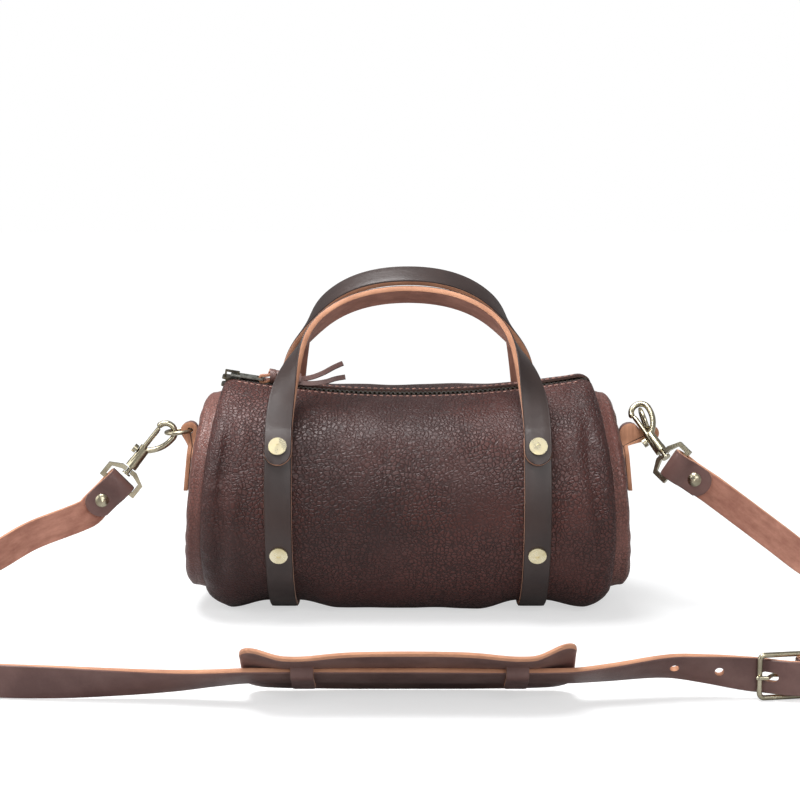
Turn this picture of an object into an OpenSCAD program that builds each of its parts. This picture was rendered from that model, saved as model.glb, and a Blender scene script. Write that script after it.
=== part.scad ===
// Barrel crossbody bag in pebbled leather, with two short handles, a top zip
// and a shoulder strap on trigger snap hooks. Millimetres, +Z up, front at -Y.

/* [Body] */
// Outer radius of the barrel
body_r = 61; // [50:0.5:75]
// Half the length of the main panel, at its lower seam
seam_half = 108.5; // [98:0.5:140]
// Thickness of the body leather
leather_t = 2.4; // [1.6:0.1:3]
// How far an end panel swells past its seam
end_bulge = 9; // [5:0.5:14]
// Thickness of the leather edge that is pared down along the zip
pared_t = 1.2; // [0.8:0.1:1.5]
// How far the underside is pressed flat
flat_depth = 1.2; // [0.4:0.1:2.5]

/* [Zip] */
// Radius of the arc in which the zip sags
zip_arc_r = 600; // [450:10:900]
// Distance from the barrel's axis to the chain at mid length
zip_mid_r = 53; // [50:0.5:54]
// Forward tilt of the zip's plane
zip_tilt = 8; // [0:1:12]
// Half the length of the chain
chain_half = 97; // [80:1:98]
// Half the width of the slot between the leather edges
slot_half = 5; // [4.6:0.1:6]
// Length of one tooth across the tape
tooth_l = 2.4; // [2:0.1:2.8]
// Distance from tooth to tooth
tooth_pitch = 2.5; // [2:0.1:4]
// Thickness of a tooth
tooth_t = 2.3; // [1.8:0.1:2.6]
// Gap between the two rows of teeth
row_gap = 0.9; // [0.8:0.1:1.2]
// Length of the slider
slider_l = 10; // [8:0.5:12]
// Length of the pull from its pin
pull_l = 17.5; // [14:0.5:22]
// Width of the pull
pull_w = 5.4; // [5:0.1:6.5]
// Radius of the leather lace on the pull
lace_r = 1.2; // [0.9:0.1:1.3]

/* [Handles and bands] */
// Width of the handle and band leather
band_w = 14.3; // [11:0.1:18]
// Thickness of the handle and band leather
band_t = 3.3; // [2.6:0.1:3.6]
// Distance of each band from the middle of the bag
band_x = 67; // [50:1:80]
// Angle of the top rivets above the barrel's middle
rivet_angle = 28; // [24:1:32]
// Angle of the lower rivets below the barrel's middle
low_rivet_angle = 23; // [15:1:35]
// Angle at which the handles leave the barrel
handle_angle = 37; // [34:1:40]
// Height of the front handle's top over the floor
handle_top = 171.5; // [160:0.5:190]
// How much higher the back handle stands
back_rise = 9; // [0:0.5:14]
// Radius of a rivet head
rivet_head_r = 4.7; // [3.5:0.1:6]
// Radius of a rivet shank
rivet_r = 1.8; // [1.2:0.1:2.4]

/* [Rings and tabs] */
// Radius of the ring wire
ring_wire_r = 1.1; // [0.8:0.05:1.3]
// Radius of the ring at the middle of its wire
ring_r = 6.8; // [6.2:0.1:9]
// Thickness of the tab leather
tab_t = 2.4; // [1.8:0.1:2.8]
// Width of the tab at its foot
tab_w = 14.3; // [11:0.1:18]
// Width of the tab where the ring hangs
tab_top_w = 6.4; // [5:0.1:7]
// Height of the tab's foot over the floor
tab_foot = 64; // [56:1:72]

/* [Snap hooks] */
// Radius of the hook's rod
rod_r = 1.6; // [1.3:0.05:1.8]
// Radius of the hook's shank
shank_r = 3.1; // [2.8:0.1:3.4]
// Distance from the collar to the middle of the nose
nose_u = 26.6; // [26:0.1:28]
// Radius of the nose at the middle of the rod
nose_r = 5; // [4.6:0.1:5.4]
// Radius of the belly at the middle of the rod
belly_r = 18; // [16:0.5:20]
// Radius of the gate plunger
gate_r = 1.35; // [1.1:0.05:1.4]
// Travel of the gate
gate_travel = 4.5; // [4:0.1:4.6]
// Running clearance of the gate and the swivel
running_gap = 0.06; // [0.03:0.01:0.1]
// Clear width inside the hook's eye
eye_inside_w = 17.8; // [16.3:0.1:19]
// Thickness of the eye's strip
eye_t = 2.4; // [2:0.1:2.8]

/* [Shoulder strap] */
// Width of the strap
strap_w = 15.9; // [12.7:0.1:16]
// Thickness of the strap leather
strap_t = 2.6; // [2:0.1:2.8]
// Radius of the holes in the strap
hole_r = 2.1; // [1.5:0.1:2.3]
// Radius of a strap rivet's head
strap_rivet_r = 3.65; // [3:0.05:4.5]
// Length of the shoulder pad
pad_l = 148; // [120:1:170]
// Width of the shoulder pad
pad_w = 53; // [46:1:54]
// Thickness of the shoulder pad
pad_t = 2.4; // [2:0.1:3]
// Radius of the buckle's wire
buckle_r = 1.2; // [1:0.05:1.4]
// Length of the buckle frame between its bars
buckle_l = 21; // [18:0.5:24]

/* [Hidden] */
$fn = 64;

// Clearances and overruns that several pieces share
overrun = 0.5;
fit_gap = 0.1;
soft_gap = 0.3;
hair = 0.02;

// The barrel's axis, and the directions up and forward in the zip's tilted plane
band_r = body_r + hair;
barrel_z = band_r + band_t;
zip_up = [0, -sin(zip_tilt), cos(zip_tilt)];
zip_front = [0, -cos(zip_tilt), -sin(zip_tilt)];
zip_centre = [0, 0, barrel_z] + zip_up * (zip_mid_r + zip_arc_r);

// Vector helpers
x_dir = [1, 0, 0];
z_dir = [0, 0, 1];
function unit(v) = v / norm(v);
function smooth(t) = let (c = min(1, max(0, t))) c * c * (3 - 2 * c);
function mix(a, b, t) = a + (b - a) * t;

// Stands the children at a point, with their X and Z along two directions
module place(at, x, z) {
    zz = unit(z);
    xx = unit(x - zz * (x * zz));
    yy = cross(zz, xx);
    multmatrix([[xx.x, yy.x, zz.x, at.x], [xx.y, yy.y, zz.y, at.y],
                [xx.z, yy.z, zz.z, at.z], [0, 0, 0, 1]]) children();
}

// A closed skin over rings of points that all have the same count
module skin(rings) {
    n = len(rings[0]);
    m = len(rings);
    points = [for (ring = rings) each ring];
    sides = [for (i = [0 : m - 2], j = [0 : n - 1])
        let (a = i * n + j, b = i * n + (j + 1) % n) each [[a, b, b + n], [a, b + n, a + n]]];
    ends = [[for (j = [n - 1 : -1 : 0]) j], [for (j = [0 : n - 1]) (m - 1) * n + j]];
    polyhedron(points, concat(sides, ends), convexity = 6);
}

// A flat strip along a list of [point, width direction, face direction]
module strip(frames, w, t) {
    skin([for (f = frames) let (a = f[1] * w / 2, b = f[2] * t / 2)
        [f[0] - a - b, f[0] + a - b, f[0] + a + b, f[0] - a + b]]);
}

// A round cord along a list of points
module cord(points, r, sides = 8) {
    m = len(points);
    skin([for (i = [0 : m - 1])
        let (t = unit(points[min(i + 1, m - 1)] - points[max(i - 1, 0)]),
             side = unit(cross(t, abs(t.z) > 0.9 ? x_dir : z_dir)), up = cross(side, t))
        [for (k = [0 : sides - 1]) points[i] + r * (side * cos(360 * k / sides) + up * sin(360 * k / sides))]]);
}

module rounded_square(l, w, r) {
    square([l - 2 * r, w], center = true);
    square([l, w - 2 * r], center = true);
    for (x = [-1, 1], y = [-1, 1]) translate([x * (l / 2 - r), y * (w / 2 - r)]) circle(r);
}

// Body: the barrel's section, seen from its end. Angle 0 is the zip, 90 the front.
sag_angle = 48;
body_steps = 30;
station_shares = [-1, -0.95, -0.86, -0.7, -0.53, -0.42, -0.3, -0.1, 0.1, 0.3, 0.42, 0.53, 0.7, 0.86, 0.95, 1];
belly_sag = 7;
sag_start = 2;
sag_run = 12;
sag_end_share = 0.12;
seam_top_share = 0.903;
seam_drop_share = 0.52;
seam_tuck = leather_t;
edge_over_chain = tooth_t / 2 + 0.2 * pared_t;
function zip_lift(x) = zip_arc_r - sqrt(zip_arc_r * zip_arc_r - x * x);
function top_r(x) = zip_mid_r + zip_lift(x) + edge_over_chain;
function spoke(a) = zip_up * cos(a) + zip_front * sin(a);
function near_angle(a) = abs(a > 180 ? a - 360 : a);
function sag_weight(a) = let (s = min(1, near_angle(a) / sag_angle)) pow(1 - s * s, 2);
function round_r(a, x) = body_r + (top_r(x) - body_r) * sag_weight(a);
function tuck(u) = abs(u) > 0.98 ? seam_tuck : abs(u) > 0.9 ? seam_tuck / 4 : 0;
// Between the bands the underside sags to the floor; next to them and at the seams it stays up
function floor_share(u) = smooth((1 - abs(u)) / sag_end_share)
    * smooth((abs(abs(u * seam_half) - band_x) - band_w / 2 - sag_start) / sag_run);
function pressed_r(a, r, u) = let (down = -spoke(a).z, share = floor_share(u),
        low = mix(body_r - flat_depth, barrel_z, share))
    down < 0.5 ? r : min(r + share * belly_sag * smooth((down - 0.5) / 0.45), low / down);
function seam_x(z) = let (s = max(0, (z / barrel_z - seam_drop_share) / (2 - seam_drop_share)))
    seam_half * (1 - (1 - seam_top_share) * s * s);
function slot_angle(x) = asin(slot_half / top_r(x));
function panel_t(a, a0) = mix(pared_t, leather_t, smooth((near_angle(a) - a0) / (2 * a0)));
function body_point(u, k, inner) =
    let (x = u * seam_half, a0 = slot_angle(x), a = a0 + (360 - 2 * a0) * k / body_steps,
         r = pressed_r(a, round_r(a, x), u) - tuck(u) - (inner ? panel_t(a, a0) : 0),
         p = [0, 0, barrel_z] + spoke(a) * r)
    [u * seam_x(p.z), p.y, p.z];

module body_panel() {
    rings = [for (u = station_shares) concat(
        [for (k = [0 : body_steps]) body_point(u, k, false)],
        [for (k = [body_steps : -1 : 0]) body_point(u, k, true)])];
    n = 2 * (body_steps + 1);
    m = len(rings);
    sides = [for (i = [0 : m - 2], j = [0 : n - 1])
        let (a = i * n + j, b = i * n + (j + 1) % n) each [[a, a + n, b + n], [a, b + n, b]]];
    caps = [for (e = [0, 1], k = [0 : body_steps - 1])
        let (s = e * (m - 1) * n, o = s + k, i = s + n - 1 - k)
        each (e == 0 ? [[o, o + 1, i - 1], [o, i - 1, i]] : [[o, i - 1, o + 1], [o, i, i - 1]])];
    color("#543a38") difference() {
        polyhedron([for (ring = rings) each ring], concat(sides, caps), convexity = 8);
        rivet_places() translate([0, 0, body_r - 3 * leather_t])
            cylinder(r = rivet_r + fit_gap / 2, h = 5 * leather_t);
    }
}

// End panel: a bowl whose face leans out towards the floor
end_lean_share = 0.1;
end_r = body_r - flat_depth - seam_tuck;
bowl_shares = [1, 0.995, 0.96, 0.88, 0.76, 0.5, 0];
bowl_power = 5;
end_steps = 32;
seam_gap = 0.15;
function face_x(z) = seam_half + end_bulge - end_lean_share * (z - barrel_z);
function bowl(s) = sqrt(max(0, 1 - pow(s, bowl_power)));
function end_point(s, k, inset) =
    let (a = 360 * k / end_steps, r = s * (end_r - inset),
         y = -r * sin(a), z = barrel_z + r * cos(a))
    [mix(seam_x(z), face_x(z), bowl(s)) - inset * bowl(s) + seam_gap, y, z];
module end_panel() {
    outer = [for (s = bowl_shares) [for (k = [0 : end_steps - 1]) end_point(max(s, 0.02), k, 0)]];
    inner = [for (i = [len(bowl_shares) - 1 : -1 : 0])
        [for (k = [0 : end_steps - 1]) end_point(max(bowl_shares[i], 0.02), k, leather_t)]];
    rings = concat(outer, inner);
    n = end_steps;
    half = len(bowl_shares);
    strips = [for (i = [0 : 2 * half - 1]) if (i != half - 1) i];
    sides = [for (i = strips, j = [0 : n - 1])
        let (ii = (i + 1) % (2 * half), a = i * n + j, b = i * n + (j + 1) % n, c = ii * n + j, d = ii * n + (j + 1) % n)
        each [[a, d, b], [a, c, d]]];
    ends = [[for (j = [n - 1 : -1 : 0]) (half - 1) * n + j], [for (j = [0 : n - 1]) half * n + j]];
    polyhedron([for (ring = rings) each ring], concat(sides, ends), convexity = 6);
}
module left_end_panel() { color("#5a3c38") mirror([1, 0, 0]) end_panel(); }
module right_end_panel() { color("#5a3c38") end_panel(); }

// Zip: everything lies on an arc about zip_centre; local X is down, Y along the bag, Z to the front
tape_t = 0.8;
tape_w = 10;
tape_edge = row_gap / 2 + tooth_l;
tape_bend = slot_half - 1.1;
chain_angle = asin(chain_half / zip_arc_r);
slider_angle = -chain_angle * 0.985;
module zip_arc() { place(zip_centre, -zip_up, zip_front) children(); }
module tape() {
    drop = body_r - sqrt(body_r * body_r - tape_w * tape_w) + leather_t - pared_t + 3 * soft_gap;
    zip_arc() rotate([0, 0, -chain_angle]) rotate_extrude(angle = 2 * chain_angle, $fn = 720)
        polygon([[zip_arc_r - tape_t / 2, tape_edge], [zip_arc_r - tape_t / 2, tape_bend],
                 [zip_arc_r + drop, tape_w], [zip_arc_r + drop + tape_t, tape_w],
                 [zip_arc_r + tape_t / 2, tape_bend], [zip_arc_r + tape_t / 2, tape_edge]]);
}
module mirror_zip() { translate(zip_centre) mirror(zip_front) translate(-zip_centre) children(); }
module zip_tape_front() { color("#2b211f") tape(); }
module zip_tape_back() { color("#2b211f") mirror_zip() tape(); }
module teeth(offset_share) {
    tooth_w = tooth_pitch * 0.48;
    count = floor(2 * chain_half / tooth_pitch) - 1;
    step = 2 * chain_angle / (count + 2);
    zip_arc() for (i = [1 : count]) rotate([0, 0, -chain_angle + (i + offset_share) * step])
        translate([zip_arc_r - tooth_t / 2, -tooth_w / 2, row_gap / 2]) cube([tooth_t, tooth_w, tooth_l]);
}
module zip_teeth_front() { color("#4d4438") teeth(0.25); }
module zip_teeth_back() { color("#4d4438") mirror_zip() teeth(0.75); }
module zip_stops() {
    stop_l = 2.2 * tape_t;
    color("#4d4438") zip_arc() for (e = [-1, 1], s = [-1, 1]) rotate([0, 0, e * (chain_angle - asin(stop_l / zip_arc_r) / 2)])
        translate([zip_arc_r - tooth_t / 2, -stop_l / 2, s > 0 ? row_gap / 2 : -row_gap / 2 - tooth_l])
            cube([tooth_t, stop_l * 0.8, tooth_l]);
}

// Slider: X along the bag, Y to the back, Z up from the chain
slider_w = 7.8;
plate_t = 1.2;
plate_z = tooth_t / 2 + 0.25;
flange_t = 0.6;
post_r = 0.35;
bridge_w = 2.2;
bridge_t = 0.9;
pin_r = 0.75;
pin_z = plate_z + plate_t + pin_r + 0.75;
bridge_in = 3;
module on_chain() {
    zip_arc() rotate([0, 0, slider_angle])
        multmatrix([[0, 0, -1, zip_arc_r], [1, 0, 0, 0], [0, -1, 0, 0], [0, 0, 0, 1]]) children();
}
module zip_slider() {
    bridge_top = pin_z + pin_r + 0.25;
    color("#5b5547") on_chain() {
        for (s = [-1, 1]) translate([0, 0, s > 0 ? plate_z : -plate_z - plate_t])
            linear_extrude(plate_t) rounded_square(slider_l, slider_w, slider_w / 4);
        for (s = [-1, 1], e = [-1, 1]) translate([-slider_l * 0.3, s > 0 ? slider_w / 2 - flange_t : -slider_w / 2,
                e > 0 ? tape_t * 0.75 : -plate_z - hair])
            cube([slider_l * 0.6, flange_t, plate_z - tape_t * 0.75 + hair]);
        translate([slider_l * 0.36, 0, -plate_z - hair]) cylinder(r = post_r, h = 2 * (plate_z + hair));
        difference() {
            translate([-bridge_in - bridge_t, -bridge_w / 2, plate_z + plate_t - hair])
                cube([2 * (bridge_in + bridge_t), bridge_w, bridge_top + bridge_t - plate_z - plate_t]);
            translate([-bridge_in, -bridge_w, plate_z + plate_t]) cube([2 * bridge_in, 2 * bridge_w, bridge_top - plate_z - plate_t]);
        }
    }
}

// Pull: a pin under the bridge, two arms and a plate with an eye for the lace
pull_t = 1.1;
arm_w = 1.2;
arm_end = bridge_in + bridge_t + 0.4;
lace_hole_w = 3.2;
lace_hole_l = 2.9;
lace_hole_x = pull_l - lace_hole_l / 2 - 1.1;
module zip_pull() {
    color("#8d8775") on_chain() translate([0, 0, pin_z]) {
        rotate([90, 0, 0]) cylinder(r = pin_r, h = pull_w, center = true);
        for (s = [-1, 1]) translate([0, s > 0 ? pull_w / 2 - arm_w : -pull_w / 2, -pull_t / 2]) cube([arm_end + overrun, arm_w, pull_t]);
        difference() {
            translate([(arm_end + pull_l) / 2, 0, -pull_t / 2]) linear_extrude(pull_t)
                rounded_square(pull_l - arm_end, pull_w, pull_w / 5);
            translate([lace_hole_x, 0, 0]) cube([lace_hole_l, lace_hole_w, 2 * pull_t], center = true);
            translate([arm_end + (lace_hole_x - arm_end) * 0.3, 0, 0])
                cube([lace_hole_l * 0.8, lace_hole_w * 0.5, 2 * pull_t], center = true);
        }
    }
}

// Thong: a lace through the eye, a wound knot and two tails
knot_r = 4;
knot_l = 20;
knot_z = plate_z + knot_r + 0.9;
knot_x = pull_l + 1;
eye_drop = pull_t / 2 + lace_r * 0.75 + 0.05;
tail_shares = [
    [[0.8, 0, 0.1], [1.15, 0.1, 0.45], [1.45, 0.2, 1.15], [1.7, 0.25, 1.85], [1.95, 0.25, 2.5]],
    [[0.8, -0.1, -0.2], [1.2, -0.05, -0.15], [1.55, 0.1, 0.2], [1.85, 0.2, 0.65], [2.1, 0.2, 1.05]]
];
module zip_thong() {
    color("#6a4037") on_chain() {
        translate([knot_x, 0, knot_z]) rotate([0, 90, 0]) rotate_extrude() polygon([
            [0, 0], [knot_r * 0.6, 0], [knot_r * 0.95, knot_l * 0.08], [knot_r, knot_l * 0.3],
            [knot_r * 0.8, knot_l * 0.42], [knot_r * 0.95, knot_l * 0.55], [knot_r * 0.9, knot_l * 0.9],
            [knot_r * 0.6, knot_l], [0, knot_l]]);
        for (tail = tail_shares)
            cord([for (s = tail) [knot_x + s[0] * knot_l, s[1] * knot_l / 2, knot_z + s[2] * knot_l / 4]], lace_r);
        cord([[knot_x + knot_l * 0.15, 0, knot_z + knot_r * 0.2], [knot_x - lace_r * 0.3, 0, pin_z + eye_drop + lace_r * 0.6],
              [lace_hole_x + lace_r * 0.3, 0, pin_z + eye_drop * 0.9], [lace_hole_x - hair, 0, pin_z],
              [lace_hole_x + lace_r * 0.3, 0, pin_z - eye_drop * 0.95], [knot_x - lace_r * 0.3, 0, pin_z - eye_drop],
              [knot_x + knot_l * 0.15, 0, knot_z - knot_r * 0.35]], lace_r * 0.75);
    }
}

// Bands, handle ends and rivets lie round the barrel; side -1 is the front, +1 the back
function radial(angle, side) = [0, side * cos(angle), sin(angle)];
module on_barrel(x, angle, side) { place([x, 0, barrel_z], x_dir, radial(angle, side)) children(); }
module rivet_places(low = true, high = true) {
    for (x = [-band_x, band_x], side = [-1, 1]) {
        if (high) on_barrel(x, rivet_angle, side) children();
        if (low) on_barrel(x, -low_rivet_angle, side) children();
    }
}
// A length of strap round the barrel, from one angle above the middle to another
module arc_strap(x, r, low, high) {
    translate([x, 0, barrel_z]) rotate([0, 90, 0]) rotate([0, 0, low]) rotate_extrude(angle = high - low, $fn = 240)
        translate([r, -band_w / 2]) square([band_t, band_w]);
}
// What is cut away round a strap's rounded lower end
end_r_share = 0.503;
module end_corners(x, r, angle, side) {
    on_barrel(x, angle, side) difference() {
        translate([-band_w, side < 0 ? -2 * band_w : 0, r - 3 * overrun])
            cube([2 * band_w, 2 * band_w, band_t + 8 * overrun]);
        cylinder(r = band_w * end_r_share, h = 2 * r, $fn = 96);
    }
}
module band(x) {
    last_angle = 90 + rivet_angle + asin(band_w * 0.4 / band_r);
    difference() {
        arc_strap(x, band_r, -last_angle, last_angle);
        rivet_places() translate([0, 0, band_r - overrun])
            cylinder(r = rivet_r + fit_gap / 2, h = band_t + 2 * overrun);
    }
}
module left_band() { color("#3b3130") band(-band_x); }
module right_band() { color("#3b3130") band(band_x); }

handle_r = band_r + band_t + hair;
handle_end_angle = rivet_angle - 1.7;
blend_gap_angle = 0.25;
module handle_ends(side) {
    low_angle = handle_end_angle - asin(band_w * 0.52 / handle_r);
    high_angle = handle_angle - blend_gap_angle;
    from = side < 0 ? -90 - high_angle : 90 + low_angle;
    difference() {
        for (x = [-band_x, band_x]) arc_strap(x, handle_r, from, from + high_angle - low_angle);
        for (x = [-band_x, band_x]) end_corners(x, handle_r, handle_end_angle, side);
        rivet_places(low = false) translate([0, 0, handle_r - overrun])
            cylinder(r = rivet_r + fit_gap / 2, h = band_t + 2 * overrun);
    }
}
module front_handle_ends() { color("#3f3534") handle_ends(-1); }
module back_handle_ends() { color("#3f3534") handle_ends(1); }

// Handle: half an arch from the barrel to the top, as a curve with four control points
handle_steps = 10;
arch_reach_shares = [1, 0.97, 0.75, 0];
arch_rise_shares = [0, 0.56, 1, 1];
arch_back_shares = [0, 0.52, 0.95, 1];
front_top_y = -12;
back_top_y = 8;
top_tilt = 32;
twist_share = 0.5;
function curve(c, t) = c[0] * pow(1 - t, 3) + 3 * c[1] * t * pow(1 - t, 2) + 3 * c[2] * t * t * (1 - t) + c[3] * pow(t, 3);
function slope(c, t) = 3 * (c[1] - c[0]) * pow(1 - t, 2) + 6 * (c[2] - c[1]) * t * (1 - t) + 3 * (c[3] - c[2]) * t * t;
function handle_foot(side) = [0, 0, barrel_z] + radial(handle_angle, side) * (handle_r + band_t / 2);
function arch(side, rise, top_y) = let (foot = handle_foot(side), top = handle_top + rise)
    [for (i = [0 : 3]) [-band_x * arch_reach_shares[i], mix(foot.y, top_y, arch_back_shares[i]),
                        mix(foot.z, top, arch_rise_shares[i])]];
function arch_frame(side, c, t) =
    let (tangent = t == 0 ? [0, -side * sin(handle_angle), cos(handle_angle)] : unit(slope(c, t)),
         turn = 90 * (1 - pow(1 - min(1, t / twist_share), 2)),
         wish = [cos(turn), side * cos(top_tilt) * sin(turn), sin(top_tilt) * sin(turn)],
         w = unit(wish - tangent * (wish * tangent)))
    [curve(c, t), w, cross(w, tangent)];
module handle(side, rise, top_y) {
    c = arch(side, rise, top_y);
    left = [for (i = [0 : handle_steps]) arch_frame(side, c, i / handle_steps)];
    right = [for (i = [handle_steps - 1 : -1 : 0]) let (f = left[i])
        [[-f[0].x, f[0].y, f[0].z], [f[1].x, -f[1].y, -f[1].z] * -1, [-f[2].x, f[2].y, f[2].z]]];
    strip(concat(left, right), band_w, band_t);
}
module front_handle() { color("#453a39") handle(-1, 0, front_top_y); }
module back_handle() { color("#453a39") handle(1, back_rise, back_top_y); }

// Rivets: a flat head with a small recess, a shank and an inner washer
head_t = 1;
washer_t = 0.9;
washer_r = 4.2;
washer_top = body_r - leather_t - overrun;
module rivet(head_at) {
    difference() {
        union() {
            translate([0, 0, head_at]) cylinder(r = rivet_head_r, h = head_t);
            translate([0, 0, washer_top - washer_t]) cylinder(r = rivet_r, h = head_at + hair - washer_top + washer_t);
        }
        translate([0, 0, head_at + head_t * 0.6]) cylinder(r = rivet_head_r * 0.25, h = head_t);
    }
}
module top_rivets() { color("#d8c070") rivet_places(low = false) rivet(handle_r + band_t + hair); }
module lower_rivets() { color("#d8c070") rivet_places(high = false) rivet(handle_r); }
module rivet_washers() {
    color("#c9b268") rivet_places() translate([0, 0, washer_top - washer_t]) difference() {
        cylinder(r = washer_r, h = washer_t);
        translate([0, 0, -overrun]) cylinder(r = rivet_r + fit_gap / 2, h = washer_t + 2 * overrun);
    }
}

// Tabs: a folded strap on the end panel whose loop holds the ring's wire
tab_hole_r = 2.45;
hole_shift = 0.7;
left_ring_out = 1.2;
left_ring_up = 32.2;
right_ring_out = 14.1;
right_ring_up = 30.7;
left_ring_at = [-(seam_half + end_bulge + left_ring_out), 0, barrel_z + left_ring_up];
right_ring_at = [seam_half + end_bulge + right_ring_out, 0, barrel_z + right_ring_up];
tab_join_z = barrel_z + 24;
function tab_back_x(z) = mix(seam_x(z), face_x(z), bowl((z - barrel_z) / end_r)) + seam_gap + hair;
module tab_profile(at) {
    loop_r = tab_hole_r + tab_t * 0.95;
    hole = [at.x + hole_shift, at.z];
    top = [tab_back_x(hole.y) + 2 * tab_t, hole.y + loop_r * 0.9];
    difference() {
        union() {
            translate(hole) circle(loop_r);
            polygon([[tab_back_x(tab_foot), tab_foot], [tab_back_x(tab_foot) + 2 * tab_t, tab_foot],
                     [tab_back_x(tab_join_z) + 2 * tab_t, tab_join_z],
                     [hole.x + loop_r * 0.87, hole.y - loop_r * 0.5], [hole.x, hole.y + loop_r],
                     [min(top.x, hole.x), top.y], [tab_back_x(hole.y) + tab_t * 0.3, hole.y + loop_r * 0.5],
                     [tab_back_x(tab_join_z), tab_join_z]]);
        }
        translate(hole) circle(tab_hole_r);
        slot_from = [min(hole.x, tab_back_x(hole.y) + tab_t + tab_hole_r), hole.y];
        translate(slot_from) circle(tab_hole_r);
        translate([slot_from.x, hole.y - tab_hole_r]) square([max(hair, hole.x - slot_from.x), 2 * tab_hole_r]);
    }
}
module tab(at) {
    neck_z = at.z - tab_hole_r - tab_t;
    intersection() {
        rotate([90, 0, 0]) linear_extrude(tab_w, center = true) tab_profile(at);
        rotate([90, 0, 90]) linear_extrude(4 * body_r) polygon([
            [-tab_w / 2, tab_foot - overrun], [tab_w / 2, tab_foot - overrun], [tab_w / 2, tab_join_z - tab_t * 2],
            [tab_top_w / 2, neck_z], [tab_top_w / 2, at.z + 3 * tab_t], [-tab_top_w / 2, at.z + 3 * tab_t],
            [-tab_top_w / 2, neck_z], [-tab_w / 2, tab_join_z - tab_t * 2]]);
    }
}
module left_tab() { color("#8a5a45") mirror([1, 0, 0]) tab([-left_ring_at.x, 0, left_ring_at.z]); }
module right_tab() { color("#8a5a45") tab(right_ring_at); }

// Rings: each hangs from its tab and reaches to the far wire, which the hook holds
function heading(azimuth, elevation) = [cos(elevation) * cos(azimuth), cos(elevation) * sin(azimuth), sin(elevation)];
left_ring_dir = heading(190.4, -5);
right_ring_dir = heading(180, 70);
left_wire = left_ring_at + left_ring_dir * 2 * ring_r;
right_wire = right_ring_at + right_ring_dir * 2 * ring_r;
module ring(at, dir, across) {
    place(at + dir * ring_r, dir, cross(dir, across)) rotate_extrude($fn = 96)
        translate([ring_r, 0]) circle(ring_wire_r, $fn = 32);
}
module left_ring() { color("#98907c") ring(left_ring_at, left_ring_dir, [sin(10.4), -cos(10.4), 0]); }
module right_ring() { color("#98907c") ring(right_ring_at, right_ring_dir, [0, 1, 0]); }

// Snap hooks: X from the collar to the nose, Y from the gate to the belly
nose_v = 2.8;
gate_v = -gate_r;
house_r = gate_r + 0.8;
house_end = nose_u - 13.1;
bore_from = 1.2;
tip_angle = 76;
tip_share = 1.06;
joint_share = 1.04;
belly_from = 90.2;
belly_to = 145;
gate_end = nose_u - 2.2;
gate_tail = house_end - 5;
knob_r = 2.4;
knob_t = 2.2;
knob_u = house_end - 3.9;
stem_r = 0.8;
stem_gap = 0.1;
neck_r = 1.2;
neck_l = 3.9;
collar_r = 3;
eye_gap = 0.9;
yoke_hole_r = 1.9;
ball_r = 2.5;
function in_plane(axis, toward) = unit(toward - axis * (toward * axis));
left_nose_gap = 0.3;
right_nose_gap = 0.91;
right_nose_on = 1.38;
left_axis = unit([0.623, 0.114, 0.774]);
left_belly = in_plane(left_axis, [0.774, 0.05, -0.633]);
right_axis = unit([-0.461, 0.588, 0.665]);
right_belly = in_plane(right_axis, [0.84, 0.05, 0.54]);
left_collar = left_wire - left_axis * nose_u - left_belly * (nose_v + left_nose_gap);
right_collar = right_wire - right_axis * (nose_u + right_nose_on) - right_belly * (nose_v + right_nose_gap);
left_eye_axis = left_axis;
right_eye_axis = unit([-0.62, 0.51, 0.6]);
left_pull = unit([-0.71, -0.14, -0.69]);
right_pull = unit([0.8, -0.22, -0.53]);
yoke_mid = eye_gap + eye_t / 2;
left_eye_at = left_collar + (left_eye_axis - left_axis) * yoke_mid;
right_eye_at = right_collar + (right_eye_axis - right_axis) * yoke_mid;
function strap_up(d) = unit(z_dir - d * (d * z_dir));
function strap_face(d) = cross(d, strap_up(d));
module at_hook(collar, axis, belly) { place(collar, axis, cross(axis, belly)) children(); }
module hook() {
    belly_centre = [nose_u, nose_v + nose_r - belly_r];
    difference() {
        union() {
            rotate([0, 90, 0]) cylinder(r = collar_r, h = 1.2 * eye_t);
            rotate([0, 90, 0]) cylinder(r1 = shank_r * 0.95, r2 = shank_r * 0.8, h = house_end * 0.92);
            translate([0, gate_v, 0]) rotate([0, 90, 0]) cylinder(r = house_r, h = house_end);
            translate([nose_u, nose_v, 0]) rotate([0, 0, -tip_angle]) rotate_extrude(angle = 90 + tip_angle, $fn = 160)
                translate([nose_r, 0]) circle(rod_r, $fn = 64);
            translate([nose_u + nose_r * cos(tip_angle), nose_v - nose_r * sin(tip_angle), 0])
                sphere(rod_r * tip_share);
            translate([nose_u, nose_v + nose_r, 0]) sphere(rod_r * joint_share);
            translate([belly_centre.x, belly_centre.y, 0]) rotate([0, 0, belly_from])
                rotate_extrude(angle = belly_to - belly_from, $fn = 240) translate([belly_r, 0]) circle(rod_r, $fn = 64);
        }
        translate([bore_from, gate_v, 0]) rotate([0, 90, 0]) cylinder(r = gate_r + running_gap, h = house_end);
        translate([knob_u - gate_travel - stem_r - stem_gap, gate_v - 2 * house_r, -stem_r - stem_gap])
            cube([gate_travel + 2 * (stem_r + stem_gap), 2 * house_r, 2 * (stem_r + stem_gap)]);
    }
    translate([-neck_l, 0, 0]) rotate([0, 90, 0]) cylinder(r = neck_r, h = neck_l + hair);
    translate([-neck_l - ball_r * 0.3, 0, 0]) rotate([0, 90, 0]) cylinder(r = ball_r, h = ball_r * 0.3 + hair);
}
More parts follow.
